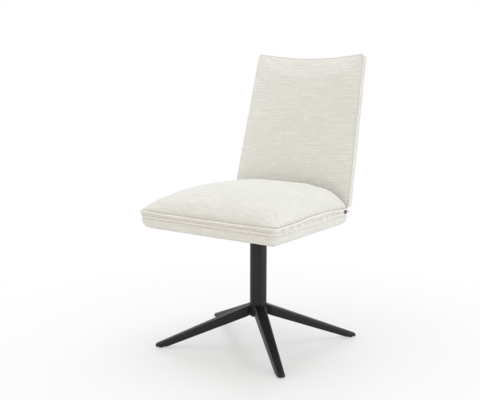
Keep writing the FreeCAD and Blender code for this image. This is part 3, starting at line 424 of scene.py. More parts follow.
def seat_loop(corner):
    """Points round the seat's seam and their outward directions; corner is its front corners' radius."""
    front = seat_half(-SEAT_FRONT)
    corners = [(SEAT_REAR_HALF, SEAT_REAR), (-SEAT_REAR_HALF, SEAT_REAR), (-front, -SEAT_FRONT),
               (front, -SEAT_FRONT)]
    return outline(corners, [SEAT_REAR_CORNER] * 2 + [corner] * 2, SEAM_POINT_GAP)


def hump(value, start, length):
    """A soft hump as high as 1 over a length from the start."""
    return np.sin(ramp(value, start, length) * math.pi) ** 2


def seam_lift(x, y):
    """How far the seam stands above its plain level: it sags across the front, arches along the sides and
    droops at the front corner on the sitter's right."""
    seat = bpy.context.scene.chair_seat
    near_front = ramp(-y, SEAT_FRONT - SEAM_BAND, SEAM_BAND)
    near_side = ramp(np.abs(x) - seat_half(y), -SEAM_BAND, SEAM_BAND)
    sag = -seat.front_sag / MM * (1 - ramp(np.abs(x - 25), 0, 228) ** 4)
    sag = sag + 0.5 * np.sin(x / 21) + 0.3 * np.sin(x / 9 + 1)
    arch = seat.side_arch / MM * hump(y, -195, 345) + 0.3 * np.sin(y / 19) * hump(y, -240, 400)
    droop = -3.5 * ramp(-x, 205, 40) * near_front
    return sag * near_front + arch * near_side + droop


def seat_ring(inset, height, follow=1.0, corner=SEAT_FRONT_CORNER):
    """A closed row of points round the seat, drawn in from its seam's edge. Past the corner's radius it
    shrinks to the seat's middle. Follow is its share of the seam's lift."""
    points, outward = seat_loop(corner)
    near = min(inset, corner - 2)
    row = points - outward * near
    middle = np.array([0.0, (SEAT_REAR - SEAT_FRONT) / 2])
    row = middle + (row - middle) * (1 - (inset - near) / 220)
    row = np.column_stack([row, height + seam_lift(*points.T) * follow])
    return np.vstack([row, row[:1]])


def under_back(y):
    """How far this is in under the back, where the fold is pressed flat."""
    return ramp(y, 138, 16)


def gathered(count):
    """Shares from -1 to 1, closer together towards both ends."""
    even = np.linspace(-1, 1, count)
    return even * (1.5 - 0.5 * even ** 2)


def crown_points():
    """The rows of points of the seat's dome, and those of its underside."""
    seat = bpy.context.scene.chair_seat
    a, b = np.meshgrid(gathered(CROWN_COLUMNS), gathered(CROWN_ROWS))
    front = -SEAT_FRONT + CROWN_IN
    y = front + (b + 1) / 2 * (CROWN_REAR - front)
    half = seat_half(y) - CROWN_IN
    x, y = round_corners(a * half, y, half, front, CROWN_REAR, SEAT_FRONT_CORNER - CROWN_IN, y < 0)
    wide = np.abs(a)
    side_power = CROWN_SIDE_POWER + CROWN_LEFT_POWER * ramp(a, 0, 0.3) * ramp(b, -0.2, 0.9)
    end_power = np.where(b < 0, CROWN_FRONT_POWER, CROWN_REAR_POWER)
    rise = np.sqrt((1 - wide ** side_power) * (1 - np.abs(b) ** end_power))
    edge = np.maximum(wide, np.abs(b))
    lift = seam_lift(x, y) * 0.25
    under = CROWN_FOOT + lift * ramp(edge, 0.985, 0.015)
    level = CROWN_FOOT + lift * ramp(edge, 0.7, 0.3) ** 2
    pucker = 0.5 * np.sin(x / 3.1 + 1.3 * np.sin(x / 17)) * (1 - wide ** 6) * ramp(-y, 200, 40)
    dome = level + seat.crown_rise / MM * rise + pucker * (edge < 0.999)
    swell = CROWN_SWELL * np.sin(np.pi * np.sqrt(ramp(rise, 0, 0.75)))
    swollen_x = x + swell * np.sign(x) * wide ** 12
    swollen_y = y - swell * ramp(-b, 0, 1) ** 12
    return np.stack([swollen_x, swollen_y, dome], axis=2), np.stack([x, y, under], axis=2)


# ---- the back's lines

def back_place(x, up, deep):
    """Points of the back's own frame: across, up along it from its foot, and deep behind its face's seam."""
    x, up, deep = np.broadcast_arrays(x, up, deep)
    y = BACK_FOOT_Y + up * math.sin(BACK_LEAN) + deep * math.cos(BACK_LEAN)
    z = SEAM_HEIGHT + up * math.cos(BACK_LEAN) - deep * math.sin(BACK_LEAN)
    return np.stack([x, y, z], axis=-1)


def back_face(inset):
    """Rows of x and up over the back's face, drawn in by the inset; and each point's share of the way out to
    the side, and to the foot or top. The top edge is dipped and drops to the sitter's left."""
    a, b = np.meshgrid(gathered(BACK_COLUMNS), gathered(BACK_ROWS))
    low = BACK_LOW + inset
    top = BACK_LENGTH - inset
    up = low + (b + 1) / 2 * (top - low)
    half = BACK_FOOT_HALF - up * (BACK_FOOT_HALF - BACK_TOP_HALF) / BACK_LENGTH - inset
    radius = BACK_CORNER + 0.3 * max(inset, 0)
    x, up = round_corners(a * half, up, half, low, top, radius, np.full(a.shape, True))
    dip = BACK_DIP * (1 - (x / half) ** 2) + BACK_DROP * ramp(x / half, -0.6, 1)
    return x, low + (up - low) * (1 - dip / (top - low)), np.abs(a), b


def back_loop(inset, deep):
    """A closed loop round the back."""
    x, up, _, _ = back_face(inset)
    return back_place(rim(x), rim(up), deep)


# ---- materials

class Line:
    """A node's output; arithmetic on it adds Math nodes."""

    def __init__(self, output):
        self.output = output

    def node(self, kind, settings, inputs, give=0):
        """Add a node: its settings first, then a value or a link for each input; give picks its output."""
        tree = self.output.id_data
        node = tree.nodes.new(kind)
        for name, value in settings.items():
            setattr(node, name, value)
        for key, value in inputs.items():
            socket = node.inputs[key]
            if isinstance(value, Line):
                tree.links.new(value.output, socket)
            elif socket.type == "RGBA":
                socket.default_value = (*value, 1)
            else:
                socket.default_value = value
        return Line(node.outputs[give])

    def maths(self, operation, first, second=0.0):
        return self.node("ShaderNodeMath", {"operation": operation}, {0: first, 1: second})

    def __add__(self, other):
        return self.maths("ADD", self, other)

    def __sub__(self, other):
        return self.maths("SUBTRACT", self, other)

    def __rsub__(self, other):
        return self.maths("SUBTRACT", other, self)

    def __mul__(self, other):
        return self.maths("MULTIPLY", self, other)

    def __truediv__(self, other):
        return self.maths("DIVIDE", self, other)

    def __pow__(self, other):
        return self.maths("POWER", self, other)

    def sine(self):
        return self.maths("SINE", self)

    def most(self, other):
        return self.maths("MAXIMUM", self, other)

    def off_middle(self, pitch):
        """How far this is from the middle of its pitch, from 0 to 0.5."""
        return self.maths("ABSOLUTE", self.maths("FRACT", self / pitch) - 0.5)

    def wave(self, pitch):
        """A wave of this pitch in metres, from 0 to 1."""
        return (self * (2 * math.pi / pitch)).sine() * 0.5 + 0.5

    def part(self, axis):
        """One of a place's x, y and z."""
        return self.node("ShaderNodeSeparateXYZ", {}, {0: self}, axis)

    def noise(self, scale, detail, rough, stretch=(1, 1, 1)):
        """Noise at this place, stretched along its axes."""
        where = self.node("ShaderNodeVectorMath", {"operation": "MULTIPLY"}, {0: self, 1: stretch})
        return self.node("ShaderNodeTexNoise", {}, {
            "Vector": where, "Scale": scale, "Detail": detail, "Roughness": rough})

    def cells(self, scale):
        """Distance to the middle of the nearest cell at this place."""
        return self.node("ShaderNodeTexVoronoi", {}, {"Vector": self, "Scale": scale})

    def step(self, low, high, to_low=0.0, to_high=1.0):
        """This value run smoothly from low to high."""
        return self.node("ShaderNodeMapRange", {"interpolation_type": "SMOOTHSTEP"}, {
            "Value": self, "From Min": low, "From Max": high, "To Min": to_low, "To Max": to_high})

    def blend(self, first, second):
        """A colour from the first to the second as this value goes from 0 to 1."""
        return self.node("ShaderNodeMix", {"data_type": "RGBA"}, {0: self, 6: first, 7: second}, 2)

    def bump(self, depth, strength):
        """A normal from this height, where 1 is the depth in metres."""
        return self.node("ShaderNodeBump", {}, {"Height": self, "Distance": depth, "Strength": strength})


def begin(name, chart=None):
    """Start a material; gives it and the place that its pattern reads: the object's, or a UV map's."""
    material = bpy.data.materials.new(name)
    material.use_nodes = True
    tree = material.node_tree
    tree.nodes.clear()
    if chart is None:
        return material, Line(tree.nodes.new("ShaderNodeTexCoord").outputs["Object"])
    node = tree.nodes.new("ShaderNodeUVMap")
    node.uv_map = chart
    return material, Line(node.outputs["UV"])


def close(shader, kind="ShaderNodeOutputMaterial"):
    """Link a shader to its tree's output."""
    tree = shader.output.id_data
    tree.links.new(shader.output, tree.nodes.new(kind).inputs["Surface"])


def made(make, name=None, *given, chart=None):
    """The material whose colour, roughness, normal and further inputs make gives at a place, made only once.
    It has make's name unless it is given one."""
    name = name or make.__name__
    if name in bpy.data.materials:
        return bpy.data.materials[name]
    material, place = begin(name, chart)
    colour, rough, normal, more = make(place, *given)
    inputs = {"Base Color": colour, "Roughness": rough, "Normal": normal}
    close(place.node("ShaderNodeBsdfPrincipled", {}, inputs | more))
    return material


def tinted(colour, factor):
    """The colour made this much lighter or darker."""
    return tuple(min(1.0, c * factor) for c in colour)


def slub_weave(chart, lift):
    """Off-white slub weave, read from the cloth's own measure; lift lightens it, and above 1 it paints a
    highlight.
    """
    look = bpy.context.scene.chair_cloth
    u = chart.part(0)
    v = chart.part(1)
    turn = 2 * math.pi / look.yarn_pitch
    wander = chart.noise(90, 2, 0.5) * 1.6
    weft = (v * turn + wander).sine() * 0.5 + 0.5
    warp = (u * turn + wander).sine() * 0.5 + 0.5
    over = ((u * turn / 2).sine() * (v * turn / 2).sine()).step(-0.3, 0.3)
    yarns = over * weft + (1 - over) * warp
    thick_weft = chart.noise(1, 3, 0.6, (22, 400, 1)).step(0.42, 0.7)
    thick_warp = chart.noise(1, 3, 0.6, (330, 40, 1)).step(0.48, 0.74)
    rows = chart.noise(1, 2, 0.6, (9, 320, 1)).step(0.3, 0.7)
    cloud = chart.noise(11, 3, 0.55)
    tone = thick_weft * 0.26 + thick_warp * 0.24 + rows * 0.28 + yarns * 0.06 + cloud * 0.16
    colour = tone.step(0.15, 0.75).blend(tinted(look.colour, 0.88 * lift), tinted(look.colour, 1.06 * lift))
    height = yarns * 0.25 + thick_weft * 0.5 + thick_warp * 0.25 + rows * 0.5
    return colour, rows.step(0.0, 1.0, 0.86, 0.96), height.bump(0.0005, 0.8), {
        "Sheen Weight": 0.1, "Sheen Roughness": 0.5, "Specular IOR Level": 0.2}


def cover_cloth():
    return made(slub_weave, "off_white_slub_weave", 1.0, chart="cloth")


def seam_highlight_cloth():
    """The same weave made lighter for the seams' folds, cords and piping: a painted highlight where they
    catch the light.
    """
    return made(slub_weave, "seam_weave_painted_highlight", 1.12, chart="cloth")


def sewing_thread(spot):
    """Twisted off-white thread."""
    look = bpy.context.scene.chair_cloth
    twist = (spot.part(0) + spot.part(1) + spot.part(2)).wave(0.0007)
    fuzz = spot.noise(800, 3, 0.6)
    colour = (twist * 0.6 + fuzz * 0.4).blend(tinted(look.colour, 0.8), tinted(look.colour, 1.06))
    rough = fuzz.step(0.3, 0.7, 0.6, 0.75)
    return colour, rough, twist.bump(0.0001, 0.6), {"Sheen Weight": 0.1}


def black_powder_coat(spot):
    """Black satin powder coat, with its fine pebble and a few rubbed places."""
    look = bpy.context.scene.chair_base
    pebble = spot.noise(700, 2, 0.5)
    rubbed = spot.noise(23, 5, 0.65).step(0.5, 0.78)
    cloud = spot.noise(9, 3, 0.5)
    colour = (rubbed * 0.6 + cloud * 0.4).blend(tuple(look.coating), tinted(look.coating, 1.9))
    rough = (rubbed * 0.5 + cloud * 0.5).step(0.2, 0.7, look.roughness - 0.04, look.roughness + 0.08)
    return colour, rough, pebble.bump(0.00004, 0.5), {"Specular IOR Level": 0.25}


def moulded_nylon(spot, colour, roughness):
    """Moulded nylon, with a faint spark texture and flow marks."""
    spark = spot.noise(1300, 2, 0.6)
    flow = spot.noise(45, 3, 0.6, (1, 1, 3))
    shade = flow.step(0.35, 0.7).blend(tinted(colour, 0.85), tinted(colour, 1.3))
    rough = (spark * 0.5 + flow * 0.5).step(0.3, 0.7, roughness - 0.06, roughness + 0.08)
    return shade, rough, spark.bump(0.00003, 0.6), {}


def zinc_plate(spot):
    """Bright zinc with a drawn grain and a faint bloom."""
    drawn = spot.noise(120, 4, 0.7, (1, 1, 14))
    bloom = spot.noise(60, 4, 0.6)
    colour = bloom.step(0.35, 0.7).blend((0.60, 0.61, 0.62), (0.50, 0.51, 0.50))
    rough = (drawn * 0.6 + bloom * 0.4).step(0.3, 0.7, 0.24, 0.45)
    return colour, rough, drawn.bump(0.00003, 0.5), {"Metallic": 1.0}


def birch_plywood(spot):
    """Birch plywood: grain along the sheet, and its 3 mm pairs of plies on the edges."""
    grain = spot.noise(9, 5, 0.65, (1, 9, 30))
    fibre = spot.noise(60, 4, 0.7, (1, 14, 6))
    ply = spot.part(2).wave(0.003).step(0.3, 0.7)
    tone = grain * 0.55 + fibre * 0.25 + ply * 0.2
    colour = tone.step(0.25, 0.75).blend((0.42, 0.28, 0.15), (0.66, 0.50, 0.32))
    return colour, fibre.step(0.3, 0.7, 0.5, 0.7), fibre.bump(0.0001, 0.6), {}


def elastic_webbing(spot):
    """Black elastic webbing with ribs across and a stripe along each strap's edges, at the straps' pitch."""
    ribs = spot.part(0).wave(0.0028)
    stripes = spot.part(1).off_middle(0.07).step(0.1, 0.16)
    fuzz = spot.noise(700, 3, 0.6)
    colour = (ribs * 0.5 + stripes * 0.3 + fuzz * 0.2).blend((0.008, 0.008, 0.008), (0.05, 0.05, 0.052))
    return colour, fuzz.step(0.3, 0.7, 0.75, 0.92), ribs.bump(0.0004, 0.8), {}


def dust_cloth(spot):
    """Black non-woven cloth with its pressed dots."""
    dots = spot.cells(420).step(0.15, 0.4)
    fibre = spot.noise(500, 4, 0.7)
    height = dots * 0.6 + fibre * 0.4
    colour = (dots * 0.4 + fibre * 0.6).blend((0.012, 0.012, 0.013), (0.045, 0.045, 0.047))
    return colour, fibre.step(0.3, 0.7, 0.8, 0.95), height.bump(0.0002, 0.7), {}


def cut_foam(spot):
    """Cream foam with its open cells."""
    cells = spot.cells(900).step(0.1, 0.6)
    cloud = spot.noise(12, 3, 0.5)
    colour = (cells * 0.6 + cloud * 0.4).blend((0.70, 0.66, 0.50), (0.84, 0.81, 0.66))
    return colour, cells.step(0, 1, 0.98, 0.9), cells.bump(0.0005, 0.8), {}


def zip_tape_weave(spot):
    """The zip's tape: a fine herringbone in the cover's colour."""
    look = bpy.context.scene.chair_cloth
    bone_width = 0.0028
    slope = spot.part(2).off_middle(bone_width) * bone_width
    bone = (spot.part(1) + slope).wave(0.0009)
    fuzz = spot.noise(900, 3, 0.6)
    colour = (bone * 0.5 + fuzz * 0.5).blend(tinted(look.colour, 0.9), tinted(look.colour, 1.04))
    return colour, fuzz.step(0.3, 0.7, 0.8, 0.92), bone.bump(0.0001, 0.8), {}


def worn_nickel(spot, colour, roughness):
    """Nickel plate with cloudy smudges and fine handling scratches."""
    scratch = spot.noise(260, 4, 0.75, (1, 6, 1))
    smudge = spot.noise(140, 3, 0.6)
    shade = smudge.step(0.35, 0.7).blend(tinted(colour, 0.75), tinted(colour, 1.2))
    rough = (scratch * 0.5 + smudge * 0.5).step(0.3, 0.7, roughness - 0.08, roughness + 0.1)
    return shade, rough, scratch.bump(0.00003, 0.5), {"Metallic": 1.0}


# ---- handing over to the frame

def give(piece, material):
    """Make this the piece's only material."""
    piece.data.materials.clear()
    piece.data.materials.append(material)


def dress(nodes, material):
    """Give CAD nodes a material in all of their slots."""
    for name in nodes.split():
        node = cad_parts[name]
        if not node.material_slots:
            node.data.materials.append(material)
        for slot in node.material_slots:
            slot.material = material


def ready(piece, body, slot, material, *replaced):
    """Give the piece its material, its body and the nodes that it stands for. The slot is not used."""
    give(piece, material)
    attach(piece, body)
    if replaced:
        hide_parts(*replaced)


# ---- settings

def metres(name, description, default, least):
    """A setting in metres."""
    return FloatProperty(name=name, description=description, default=default, unit="LENGTH", min=least)


class ChairCloth(bpy.types.PropertyGroup):
    """The cover's cloth."""

    colour: FloatVectorProperty(
        name="Cloth colour", description="Colour of the cover", default=(0.795, 0.776, 0.735),
        subtype="COLOR", min=0, max=1)
    yarn_pitch: metres("Yarn pitch", "Distance between yarns", 0.0016, 0.0005)
    stitch_pitch: metres("Stitch pitch", "Distance between stitches", 0.0042, 0.002)


class ChairSeat(bpy.types.PropertyGroup):
    """The seat's soft forms."""

    crown_rise: metres("Crown rise", "Height of the seat's dome before it is blown up", 0.072, 0.02)
    front_sag: metres("Front sag", "Sag of the seam across the front", 0.0028, 0)
    side_arch: metres("Side arch", "Arch of the seam along the sides", 0.006, 0)


class ChairBase(bpy.types.PropertyGroup):
    """The base's coating."""

    coating: FloatVectorProperty(
        name="Coating colour", description="Colour of the powder coat", default=(0.0105, 0.0099, 0.0091),
        subtype="COLOR", min=0, max=1)
    roughness: FloatProperty(
        name="Coating roughness", description="Roughness of the powder coat", default=0.42, min=0.1, max=0.9)
    bead_radius: metres("Weld bead", "Radius of the weld beads", 0.0017, 0.0005)


# ---- operators

class CHAIR_OT_seat_crown(bpy.types.Operator):
    """Build the domed seat cover"""

    bl_idname = "chair.seat_crown"
    bl_label = "Seat crown"

    def execute(self, context):
        dome, under = crown_points()
        piece = sewn("seat_crown_cover", [skin("seat_crown_top", dome), skin("seat_crown_under", under)])
        blow(piece, meets(piece, under.reshape(-1, 3)), pressure=4.0, cap=0.003)
        subdivided(piece)
        points = places(piece)
        points[:, 1] = np.minimum(points[:, 1], CROWN_REAR * MM)
        place(piece, points)
        ready(piece, "seat", "cover_fabric", cover_cloth(), "seat_cushion")
        return {"FINISHED"}


class CHAIR_OT_seat_border(bpy.types.Operator):
    """Build the seat's border, the folded seam above it and the lower seam"""

    bl_idname = "chair.seat_border"
    bl_label = "Seat border"

    def execute(self, context):
        cloth = cover_cloth()
        # The seams' cloth is the weave made lighter: a painted highlight.
        seam_highlight = seam_highlight_cloth()
        self.border(cloth)
        self.fold(seam_highlight)
        lower = cord("seat_lower_seam", lambda out, up: seat_ring(3.3 - out, LOWER_SEAM + up, 0.1), 1.5, 13)
        ready(lower, "seat", "cover_fabric", seam_highlight, "seat_welt")
        self.rear_flaps(cloth)
        return {"FINISHED"}

    def border(self, cloth):
        """The wall under the seam: folded all round, and flat beside the zip."""
        rows = []
        for walls in zip(FOLDED_WALL, ZIPPED_WALL):
            row, zip_row = (seat_ring(inset, BORDER_BOTTOM + rise, follow) for inset, rise, follow in walls)
            x, y, _ = row.T
            within = np.minimum(x - ZIPPED_SIDE, np.minimum(y + ZIPPED_FRONT, ZIPPED_REAR - y))
            rows.append(row + (zip_row - row) * ramp(within, 0, 7)[:, None])
        for angle in np.linspace(0, math.pi / 2, 12):
            drawn = 3.7 + 23 * (1 - math.cos(angle))
            rows.append(seat_ring(drawn, BORDER_BOTTOM + BORDER_ROUND * (1 - math.sin(angle)), 0))
        rows += [seat_ring(inset, BORDER_BOTTOM + rise, 0) for inset, rise in BORDER_INSIDE]
        inset, rise = BORDER_LIP
        rows += [seat_ring(inset, BORDER_BOTTOM + rise), rows[0]]
        border = subdivided(skin("seat_border_cover", rows, ring=True, tube=True))
        ready(border, "seat", "cover_fabric", cloth, "seat_border")

    def fold(self, seam_highlight):
        """The folded seam between the crown and the border."""
        rows = []
        for inset, rise in FOLD_SECTION:
            row = seat_ring(inset, SEAM_HEIGHT + rise, min(1, (FOLD_DEPTH - inset) / 6), FOLD_FRONT_CORNER)
            row[:, 2] -= 0.45 * max(rise, 0) * under_back(row[:, 1])
            rows.append(row)
        fold = subdivided(skin("seat_seam_fold", rows + rows[:1], ring=True, tube=True))
        ready(fold, "seat", "cover_fabric", seam_highlight, "seat_flange")

    def rear_flaps(self, cloth):
        """The thin flaps that close the seam under the back."""
        flaps = []
        for low, high in FLAP_RUNS:
            across = np.linspace(low, high, 12)
            loops = [[(x, y, CROWN_FOOT + rise) for y, rise in FLAP_SECTION] for x in across]
            flaps.append(solid("flap", loops))
        ready(join("seat_rear_flaps", flaps), "seat", "cover_fabric", cloth)


class CHAIR_OT_back_covers(bpy.types.Operator):
    """Build the back's front pad, its rear cover and the seam round its face"""

    bl_idname = "chair.back_covers"
    bl_label = "Back covers"

    def execute(self, context):
        cloth = cover_cloth()
        self.front_pad(cloth)
        self.rear_cover(cloth)
        # The piping's cloth is the weave made lighter: a painted highlight.
        piping = cord("back_face_seam", lambda inset, deep: back_loop(inset - 0.4, deep + 0.5), 1.4, 11)
        ready(piping, "seat", "cover_fabric", seam_highlight_cloth(), "back_piping")
        return {"FINISHED"}

    def front_pad(self, cloth):
        """The crowned pad in front, a little towards the sitter's right."""
        x, up, a, b = back_face(1.0)
        x = x - 0.35
        b = np.where(b < 0, 1 - np.abs(b) ** 6, np.sqrt(1 - np.abs(b) ** 6))
        rise = BACK_CROWN * np.sqrt(1 - a ** 4) * b
        seam = back_place(x, up, BACK_SEAM_DEEP)
        face = skin("back_pad_face", back_place(x, up, BACK_SEAM_DEEP - rise))
        pad = sewn("back_front_pad", [face, skin("back_pad_rear", seam)])
        blow(pad, meets(pad, seam.reshape(-1, 3)), pressure=3.0, cap=0.0035)
        subdivided(pad)
        points = places(pad)
        points[:, 1] = np.maximum(points[:, 1], (CROWN_REAR + 0.4) * MM)
        place(pad, points)
        ready(pad, "seat", "cover_fabric", cloth, "back_front_cushion")

    def rear_cover(self, cloth):
        """The cover's rear face, with the boxing round it."""
        x, up, a, b = back_face(BOXING_ROUND)
        face = skin("back_rear_face", back_place(x, up, BACK_THICK + 1.2 * (1 - a ** 4) * (1 - b ** 4)))
        loops = [back_loop(inset, deep) for inset, deep in BOXING_EDGE]
        for angle in np.linspace(0, math.pi / 2, 6):
            deep = BACK_THICK - BOXING_ROUND + BOXING_ROUND * math.sin(angle)
            loops.append(back_loop(BOXING_ROUND - BOXING_ROUND * math.cos(angle), deep))
        rear = subdivided(sewn("back_rear_cover", [face, skin("back_boxing", loops, ring=True)]))
        ready(rear, "seat", "cover_fabric", cloth, "back_rear_cushion")


class CHAIR_OT_stitching(bpy.types.Operator):
    """Sew the rows of stitches beside the seat's and the back's seams"""

    bl_idname = "chair.stitching"
    bl_label = "Stitching"

    def row(self, name, path, pitch, thread, up=None, through=(0.0, 0.0, 1.0)):
        """A row of stitches along a path, with their tops up, or square to the path and to this direction."""
        spots, ahead = paced(path, pitch)
        if up is None:
            up = np.cross(ahead, through)
        piece = repeated(name, bead("stitch", length=3.1, width=0.8, height=0.5), spots, ahead, up)
        ready(piece, "seat", "cover_fabric", thread)

    def execute(self, context):
        thread = made(sewing_thread)
        pitch = context.scene.chair_cloth.stitch_pitch / MM
        top = seat_ring(3.0, SEAM_HEIGHT + 2.5, 1.0, FOLD_FRONT_CORNER)
        top[:, 2] -= 1.1 * under_back(top[:, 1])
        self.row("seat_seam_stitches", top, pitch, thread, up=(0.0, 0.0, 1.0))
        self.row("seat_lower_stitches", seat_ring(3.75, LOWER_SEAM - 6.6, 0), pitch, thread)
        through = back_place(0, 0, 1) - back_place(0, 0, 0)
        self.row("back_boxing_stitches", back_loop(-0.15, 4.6), pitch, thread, through=through)
        return {"FINISHED"}


class CHAIR_OT_zip(bpy.types.Operator):
    """Build the cover's zip: its coil, slider and pull"""

    bl_idname = "chair.zip"
    bl_label = "Zip"

    def at(self, along, out, up):
        """Points along the zip from its rear end, out from the seat's side, and up."""
        along, out, up = np.broadcast_arrays(along, out, up)
        x, y, z = ZIP_REAR
        ahead, aside = ZIP_ALONG
        return np.stack([x + along * ahead - out * aside, y + along * aside + out * ahead, z + up], axis=-1)

    def stacked(self, name, along, up, levels):
        """A solid whose outline runs along and up, at levels of out and of its share of full size."""
        middle = (along[:-1].mean(), up[:-1].mean())
        loops = [self.at(middle[0] + (along - middle[0]) * share, out, middle[1] + (up - middle[1]) * share)
                 for out, share in levels]
        return solid(name, loops)

    def on_pin(self, name, half, flat, end, radius, sides):
        """A round bar on the pin's line, flat up to its ends, which are drawn in to their own radius."""
        path = [self.at(PIN_ALONG, PIN_OUT, up) for up in (-half, -flat, flat, half)]
        return bar(name, path, [end, radius, radius, end], sides, (1, 0, 0))

    def squarer(self, wave, power):
        """A sine or cosine with fuller shoulders, so that an oval drawn with it nears a rectangle."""
        return np.sign(wave) * np.abs(wave) ** power

    def execute(self, context):
        # The coil's colour is off-white nylon darkened to the tone of the shade in its recess: partly its own
        # colour, partly painted shade.
        coil = made(moulded_nylon, "zip_coil_nylon_painted_shade", (0.735, 0.715, 0.675), 0.85)
        dark = made(worn_nickel, "dark_nickel", (0.12, 0.12, 0.12), 0.38)
        light = made(worn_nickel, "rubbed_nickel", (0.34, 0.34, 0.34), 0.36)
        dress("zip_tape", made(zip_tape_weave))
        dress("zip_stops", coil)
        self.teeth(coil)
        turns = np.linspace(0, 2 * math.pi, 33)
        self.slider(np.cos(turns), np.sin(turns), dark)
        self.pull(np.cos(turns), np.sin(turns), light)
        return {"FINISHED"}

    def teeth(self, coil):
        """The coil's teeth, left and right in turn, and the cords that they are sewn over."""
        along = np.arange(2.8, ZIP_LENGTH - ZIP_END, TOOTH_PITCH)
        side = np.where(np.arange(len(along)) % 2, TOOTH_SIDE, -TOOTH_SIDE)
        out = self.at(0, 1, 0) - self.at(0, 0, 0)
        tooth = bead("tooth", length=3.3, width=1.6, height=0.9)
        teeth = repeated("teeth", tooth, self.at(along, 1.4, side), (0.0, 0.0, 1.0), out)
        run = np.linspace(ZIP_END, ZIP_LENGTH - ZIP_END, 9)
        cords = [bar("coil_cord", self.at(run, 1.05, up), 0.6) for up in (-1.5, 1.5)]
        ready(join("zip_teeth", [teeth] + cords), "seat", "zip_coil", coil, "zip_chain")

    def slider(self, ahead, side, dark):
        """The slider: a shield with a rail under each side, two ears and the pin between them."""
        shield = self.squarer(side, 0.45) * (4.35 + 0.65 * ahead)
        shield_along = PIN_ALONG + 4.5 * self.squarer(ahead, 0.6)
        levels = [(2.5, 0.97), (2.7, 1), (3.7, 1), (4.1, 0.9)]
        parts = [self.stacked("slider_plate", shield_along, shield, levels)]
        rail_along = PIN_ALONG + 4.1 * self.squarer(ahead, 0.4)
        for sign in (-1, 1):
            rail = sign * 3.95 + 0.95 * side
            parts.append(self.stacked("slider_rail", rail_along, rail, [(0.95, 0.9), (1.1, 1), (2.8, 1)]))
            foot = self.at(PIN_ALONG, 3.9, sign * 3.1)
            head = self.at(PIN_ALONG, PIN_OUT + 0.6, sign * 3.1)
            parts.append(bar("slider_ear", [foot, (foot + head) / 2, head], [1.5, 1.35, 0.95], 12))
        parts.append(self.on_pin("pull_pin", 3.9, 3.7, 0.35, 0.6, 12))
        ready(join("zip_slider_body", parts), "zip_slider", "zip_metal", dark, "zip_slider")

    def pull(self, run, side, light):
        """The pull: a waisted tab with a slot, and the eye that turns on the pin."""
        outer_along = PIN_ALONG - 7.4 - 7.5 * self.squarer(run, 0.55)
        outer_up = (1.75 + 0.5 * run ** 2) * self.squarer(side, 0.5)
        inner_along = PIN_ALONG - 10.8 - 2.3 * run
        inner_up = 1.15 * side
        levels = [(-0.62, 0), (-0.45, 1), (0.45, 1), (0.62, 0)]
        outer = [self.at(outer_along, PIN_OUT + out, outer_up * (0.93 + 0.07 * full)) for out, full in levels]
        inner = [self.at(inner_along, PIN_OUT + out, inner_up * (1.1 - 0.1 * full)) for out, full in levels]
        tab = skin("pull_tab", outer + inner[::-1] + outer[:1], ring=True, tube=True)
        eye = self.on_pin("pull_eye", 2.25, 2.1, 1.0, 1.2, 14)
        ready(join("zip_pull_tab", [tab, eye]), "zip_pull", "zip_metal", light, "zip_pull")


class CHAIR_OT_staples(bpy.types.Operator):
    """Put the staples round the dust cover"""

    bl_idname = "chair.staples"
    bl_label = "Staples"

    def execute(self, context):
        spots, ahead = paced(seat_ring(STAPLE_INSET, BORDER_BOTTOM - 1.15, 0), STAPLE_PITCH)
        staple = bead("staple", length=10.5, width=1.2, height=0.55, sides=8, rings=6)
        staples = repeated("dust_cover_staples", staple, spots, ahead, (0.0, 0.0, -1.0))
        ready(staples, "seat", "bare_steel", made(zinc_plate))
        return {"FINISHED"}


class CHAIR_OT_weld_beads(bpy.types.Operator):
    """Run the weld beads where the legs meet the column"""

    bl_idname = "chair.weld_beads"
    bl_label = "Weld beads"

    def half_neck(self):
        """Points across and up round one side of a leg's neck, from its foot to its middle on top."""
        low = LEG_TOP - LEG_ROOT_DEPTH + 1.5
        turns = np.linspace(0, math.pi / 2, 6)[1:]
        shoulder = LEG_NECK_HALF - LEG_CORNER
        across = [np.full(9, LEG_NECK_HALF), shoulder + LEG_CORNER * np.cos(turns),
                  np.linspace(shoulder, 0, 6)[1:]]
        up = [np.linspace(low, LEG_TOP - LEG_CORNER, 9), LEG_TOP - LEG_CORNER + LEG_CORNER * np.sin(turns),
              np.full(5, LEG_TOP)]
        return np.concatenate(across), np.concatenate(up)

    def execute(self, context):
        radius = context.scene.chair_base.bead_radius / MM
        across, up = self.half_neck()
        across = np.concatenate([across, -across[-2::-1]])
        up = np.concatenate([up, up[-2::-1]])
        reach = np.sqrt(COLUMN_RADIUS ** 2 - across ** 2) + 0.2
        fine = np.linspace(0, len(up) - 1, 3 * len(up))
        beads = []
        for number, turn in enumerate(np.radians(LEG_TURNS)):
            outward, aside = math.cos(turn), math.sin(turn)
            path = (reach * outward - across * aside, reach * aside + across * outward, up)
            path = np.column_stack([np.interp(fine, np.arange(len(up)), row) for row in path])
            ripple = radius * (1 + 0.12 * np.sin(fine * 3.7 + number))
            beads.append(bar("weld_bead", path, ripple, 8, (outward, aside, 0.0)))
        ready(join("leg_weld_beads", beads), "base", "base_coating", made(black_powder_coat))
        return {"FINISHED"}


class CHAIR_OT_finishes(bpy.types.Operator):
    """Give the CAD nodes that stay their finishes"""

    bl_idname = "chair.finishes"
    bl_label = "Base and inner finishes"

    def execute(self, context):
        dress("column_tube leg_a leg_b leg_c leg_d spindle_collar swivel_plate", made(black_powder_coat))
        dress("glides column_end_cap upper_bush lower_bush thrust_washer",
              made(moulded_nylon, "black_nylon", (0.018, 0.018, 0.019), 0.5))
        dress("spindle circlip retaining_washer plate_bolts plate_washers tee_nuts back_brackets panel_screws"
              " foot_bolts foot_nuts", made(zinc_plate))
        dress("seat_board seat_frame back_panel", made(birch_plywood))
        dress("webbing_straps", made(elastic_webbing))
        dress("dust_cover", made(dust_cloth))
        dress("back_foam", made(cut_foam))
        return {"FINISHED"}


